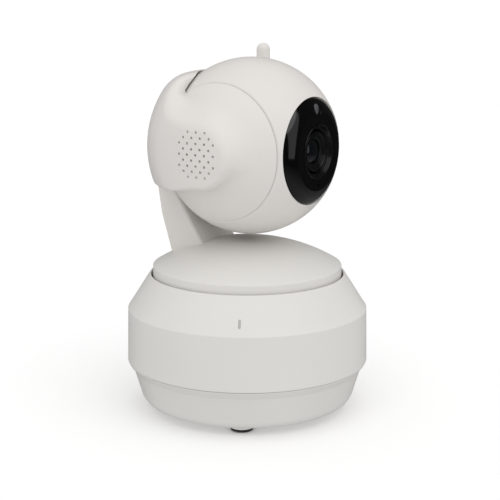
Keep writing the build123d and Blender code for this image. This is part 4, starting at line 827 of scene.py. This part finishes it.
# ---------------------------------------------------------------- antenna
KNUCKLE_R, ROD_R, PIN_HOLE_R = 3.6, 2.5, 1.25
knuckle_low, knuckle_high = low("antenna")[0], high("antenna")[0]
knuckle_at = (0, HINGE.y, HINGE.z)
rod_length = ANTENNA_TOP - HINGE.z
rod_profile = [(0, 1.0), (ROD_R, 1.0)] + arc((0, rod_length - ROD_R), ROD_R, 0, 90, 16)
knuckle_profile = rounded([(0, knuckle_low, 0), (KNUCKLE_R, knuckle_low, 0.5), (KNUCKLE_R, knuckle_high, 0.5),
                           (0, knuckle_high, 0)])
pin_profile = [(0, knuckle_low - 1), (PIN_HOLE_R, knuckle_low - 1), (PIN_HOLE_R, knuckle_high + 1),
               (0, knuckle_high + 1)]
antenna = turned("antenna_rod", rod_profile, "antenna_body", "antenna_plastic", ["antenna"], origin=HINGE,
                 segments=SMALL_SEGMENTS)
cut(antenna, [turned_mesh(knuckle_profile, knuckle_at, (1, 0, 0), 96)], "UNION")
cut(antenna, [turned_mesh(pin_profile, knuckle_at, (1, 0, 0), 48)])
finish_piece(antenna, white_yoke)


# ---------------------------------------------------------------- stage, light and camera
def plane_piece(name, size, height, material):
    """A level square sheet at a height."""
    mesh = bpy.data.meshes.new(name)
    mesh.from_pydata([(x, y, height) for x, y in square(size / 2)], [], [(0, 1, 2, 3)])
    mesh.materials.append(material)
    sheet = bpy.data.objects.new(name, mesh)
    bpy.context.collection.objects.link(sheet)
    return sheet


FLOOR_SIZE, FLOOR_Z = 8.0, -0.0001
floor_look, _, _, floor_shader = shader("pale_floor", (0.94, 0.94, 0.94), 0.9)
floor_shader.inputs["Emission Color"].default_value = (1, 1, 1, 1)
floor_shader.inputs["Emission Strength"].default_value = 0.06
floor_shader.inputs["Specular IOR Level"].default_value = 0.0
floor = plane_piece("floor", FLOOR_SIZE, FLOOR_Z, floor_look)
floor.visible_glossy = False
floor.visible_diffuse = False

AIM = Vector((0, 0, 0.0568))
AZIMUTH, ELEVATION, DISTANCE = math.radians(-56.3), math.radians(12.55), 0.4773
SENSOR, FOCAL_LENGTH, SHIFT = 36, 96.5, 0.0054
to_camera = Vector((math.sin(AZIMUTH) * math.cos(ELEVATION), -math.cos(AZIMUTH) * math.cos(ELEVATION),
                    math.sin(ELEVATION)))
camera = bpy.data.objects.new("camera", bpy.data.cameras.new("camera"))
bpy.context.collection.objects.link(camera)
camera.location = AIM + to_camera * DISTANCE
camera.rotation_mode = "QUATERNION"
camera.rotation_quaternion = (-to_camera).to_track_quat("-Z", "Y")
camera.data.sensor_width = SENSOR
camera.data.lens = FOCAL_LENGTH
camera.data.shift_x = SHIFT
camera.data.clip_start, camera.data.clip_end = 0.01, 20
bpy.context.scene.camera = camera

right = Vector((math.cos(AZIMUTH), math.sin(AZIMUTH), 0))
towards = Vector((math.sin(AZIMUTH), -math.cos(AZIMUTH), 0))
up = Vector((0, 0, 1))


def seen_from_camera(place):
    """A vector made of its shares to the right, towards the camera and up."""
    return right * place[0] + towards * place[1] + up * place[2]


def softbox(name, place, size, radiance, target):
    """A box of light, seen by gloss only, placed right, towards the camera and up from AIM."""
    lamp = bpy.data.lights.new(name, "AREA")
    lamp.shape = "RECTANGLE"
    lamp.size, lamp.size_y = size
    lamp.energy = radiance * math.pi * size[0] * size[1]
    light = bpy.data.objects.new(name, lamp)
    bpy.context.collection.objects.link(light)
    light.location = AIM + seen_from_camera(place)
    light.rotation_mode = "QUATERNION"
    light.rotation_quaternion = (target - light.location).to_track_quat("-Z", "Y")
    light.visible_diffuse = False


SUN_STRENGTH, SUN_ANGLE, SUN_FROM = 0.8, 75, (0.12, 0.5, 0.85)
sun = bpy.data.lights.new("key", "SUN")
sun.energy = SUN_STRENGTH
sun.angle = math.radians(SUN_ANGLE)
key = bpy.data.objects.new("key", sun)
bpy.context.collection.objects.link(key)
key.rotation_mode = "QUATERNION"
key.rotation_quaternion = seen_from_camera(SUN_FROM).to_track_quat("Z", "Y")
softbox("front strip", place=(0.179, 0.14, 0.17), size=(0.14, 0.44), radiance=0.34, target=BALL * MM)

scene = bpy.context.scene
scene.view_settings.view_transform = "Standard"
world = bpy.data.worlds.new("studio")
scene.world = world
world.use_nodes = True
world_nodes, world_links = world.node_tree.nodes, world.node_tree.links
background = world_nodes["Background"]
background.inputs["Color"].default_value = (1.0, 1.0, 1.0, 1)

# the world's strength: full to the camera, softer as light, and to gloss a dark room over a pale table
SEEN_STRENGTH, LIGHT_STRENGTH, ROOM_STRENGTH, TABLE_STRENGTH = 1.0, 0.82, 0.02, 0.15
TABLE_BELOW, ROOM_ABOVE = -0.65, -0.30
place = world_nodes.new("ShaderNodeTexCoord")
split = world_nodes.new("ShaderNodeSeparateXYZ")
ray = world_nodes.new("ShaderNodeLightPath")
table = world_nodes.new("ShaderNodeMapRange")
table.inputs["From Min"].default_value = TABLE_BELOW
table.inputs["From Max"].default_value = ROOM_ABOVE
table.inputs["To Min"].default_value = TABLE_STRENGTH
table.inputs["To Max"].default_value = ROOM_STRENGTH
dim = world_nodes.new("ShaderNodeMix")
dim.inputs["A"].default_value = LIGHT_STRENGTH
seen = world_nodes.new("ShaderNodeMix")
seen.inputs["B"].default_value = SEEN_STRENGTH
world_links.new(place.outputs["Generated"], split.inputs["Vector"])
world_links.new(split.outputs["Z"], table.inputs["Value"])
world_links.new(table.outputs["Result"], dim.inputs["B"])
world_links.new(ray.outputs["Is Glossy Ray"], dim.inputs["Factor"])
world_links.new(dim.outputs["Result"], seen.inputs["A"])
world_links.new(ray.outputs["Is Camera Ray"], seen.inputs["Factor"])
world_links.new(seen.outputs["Result"], background.inputs["Strength"])
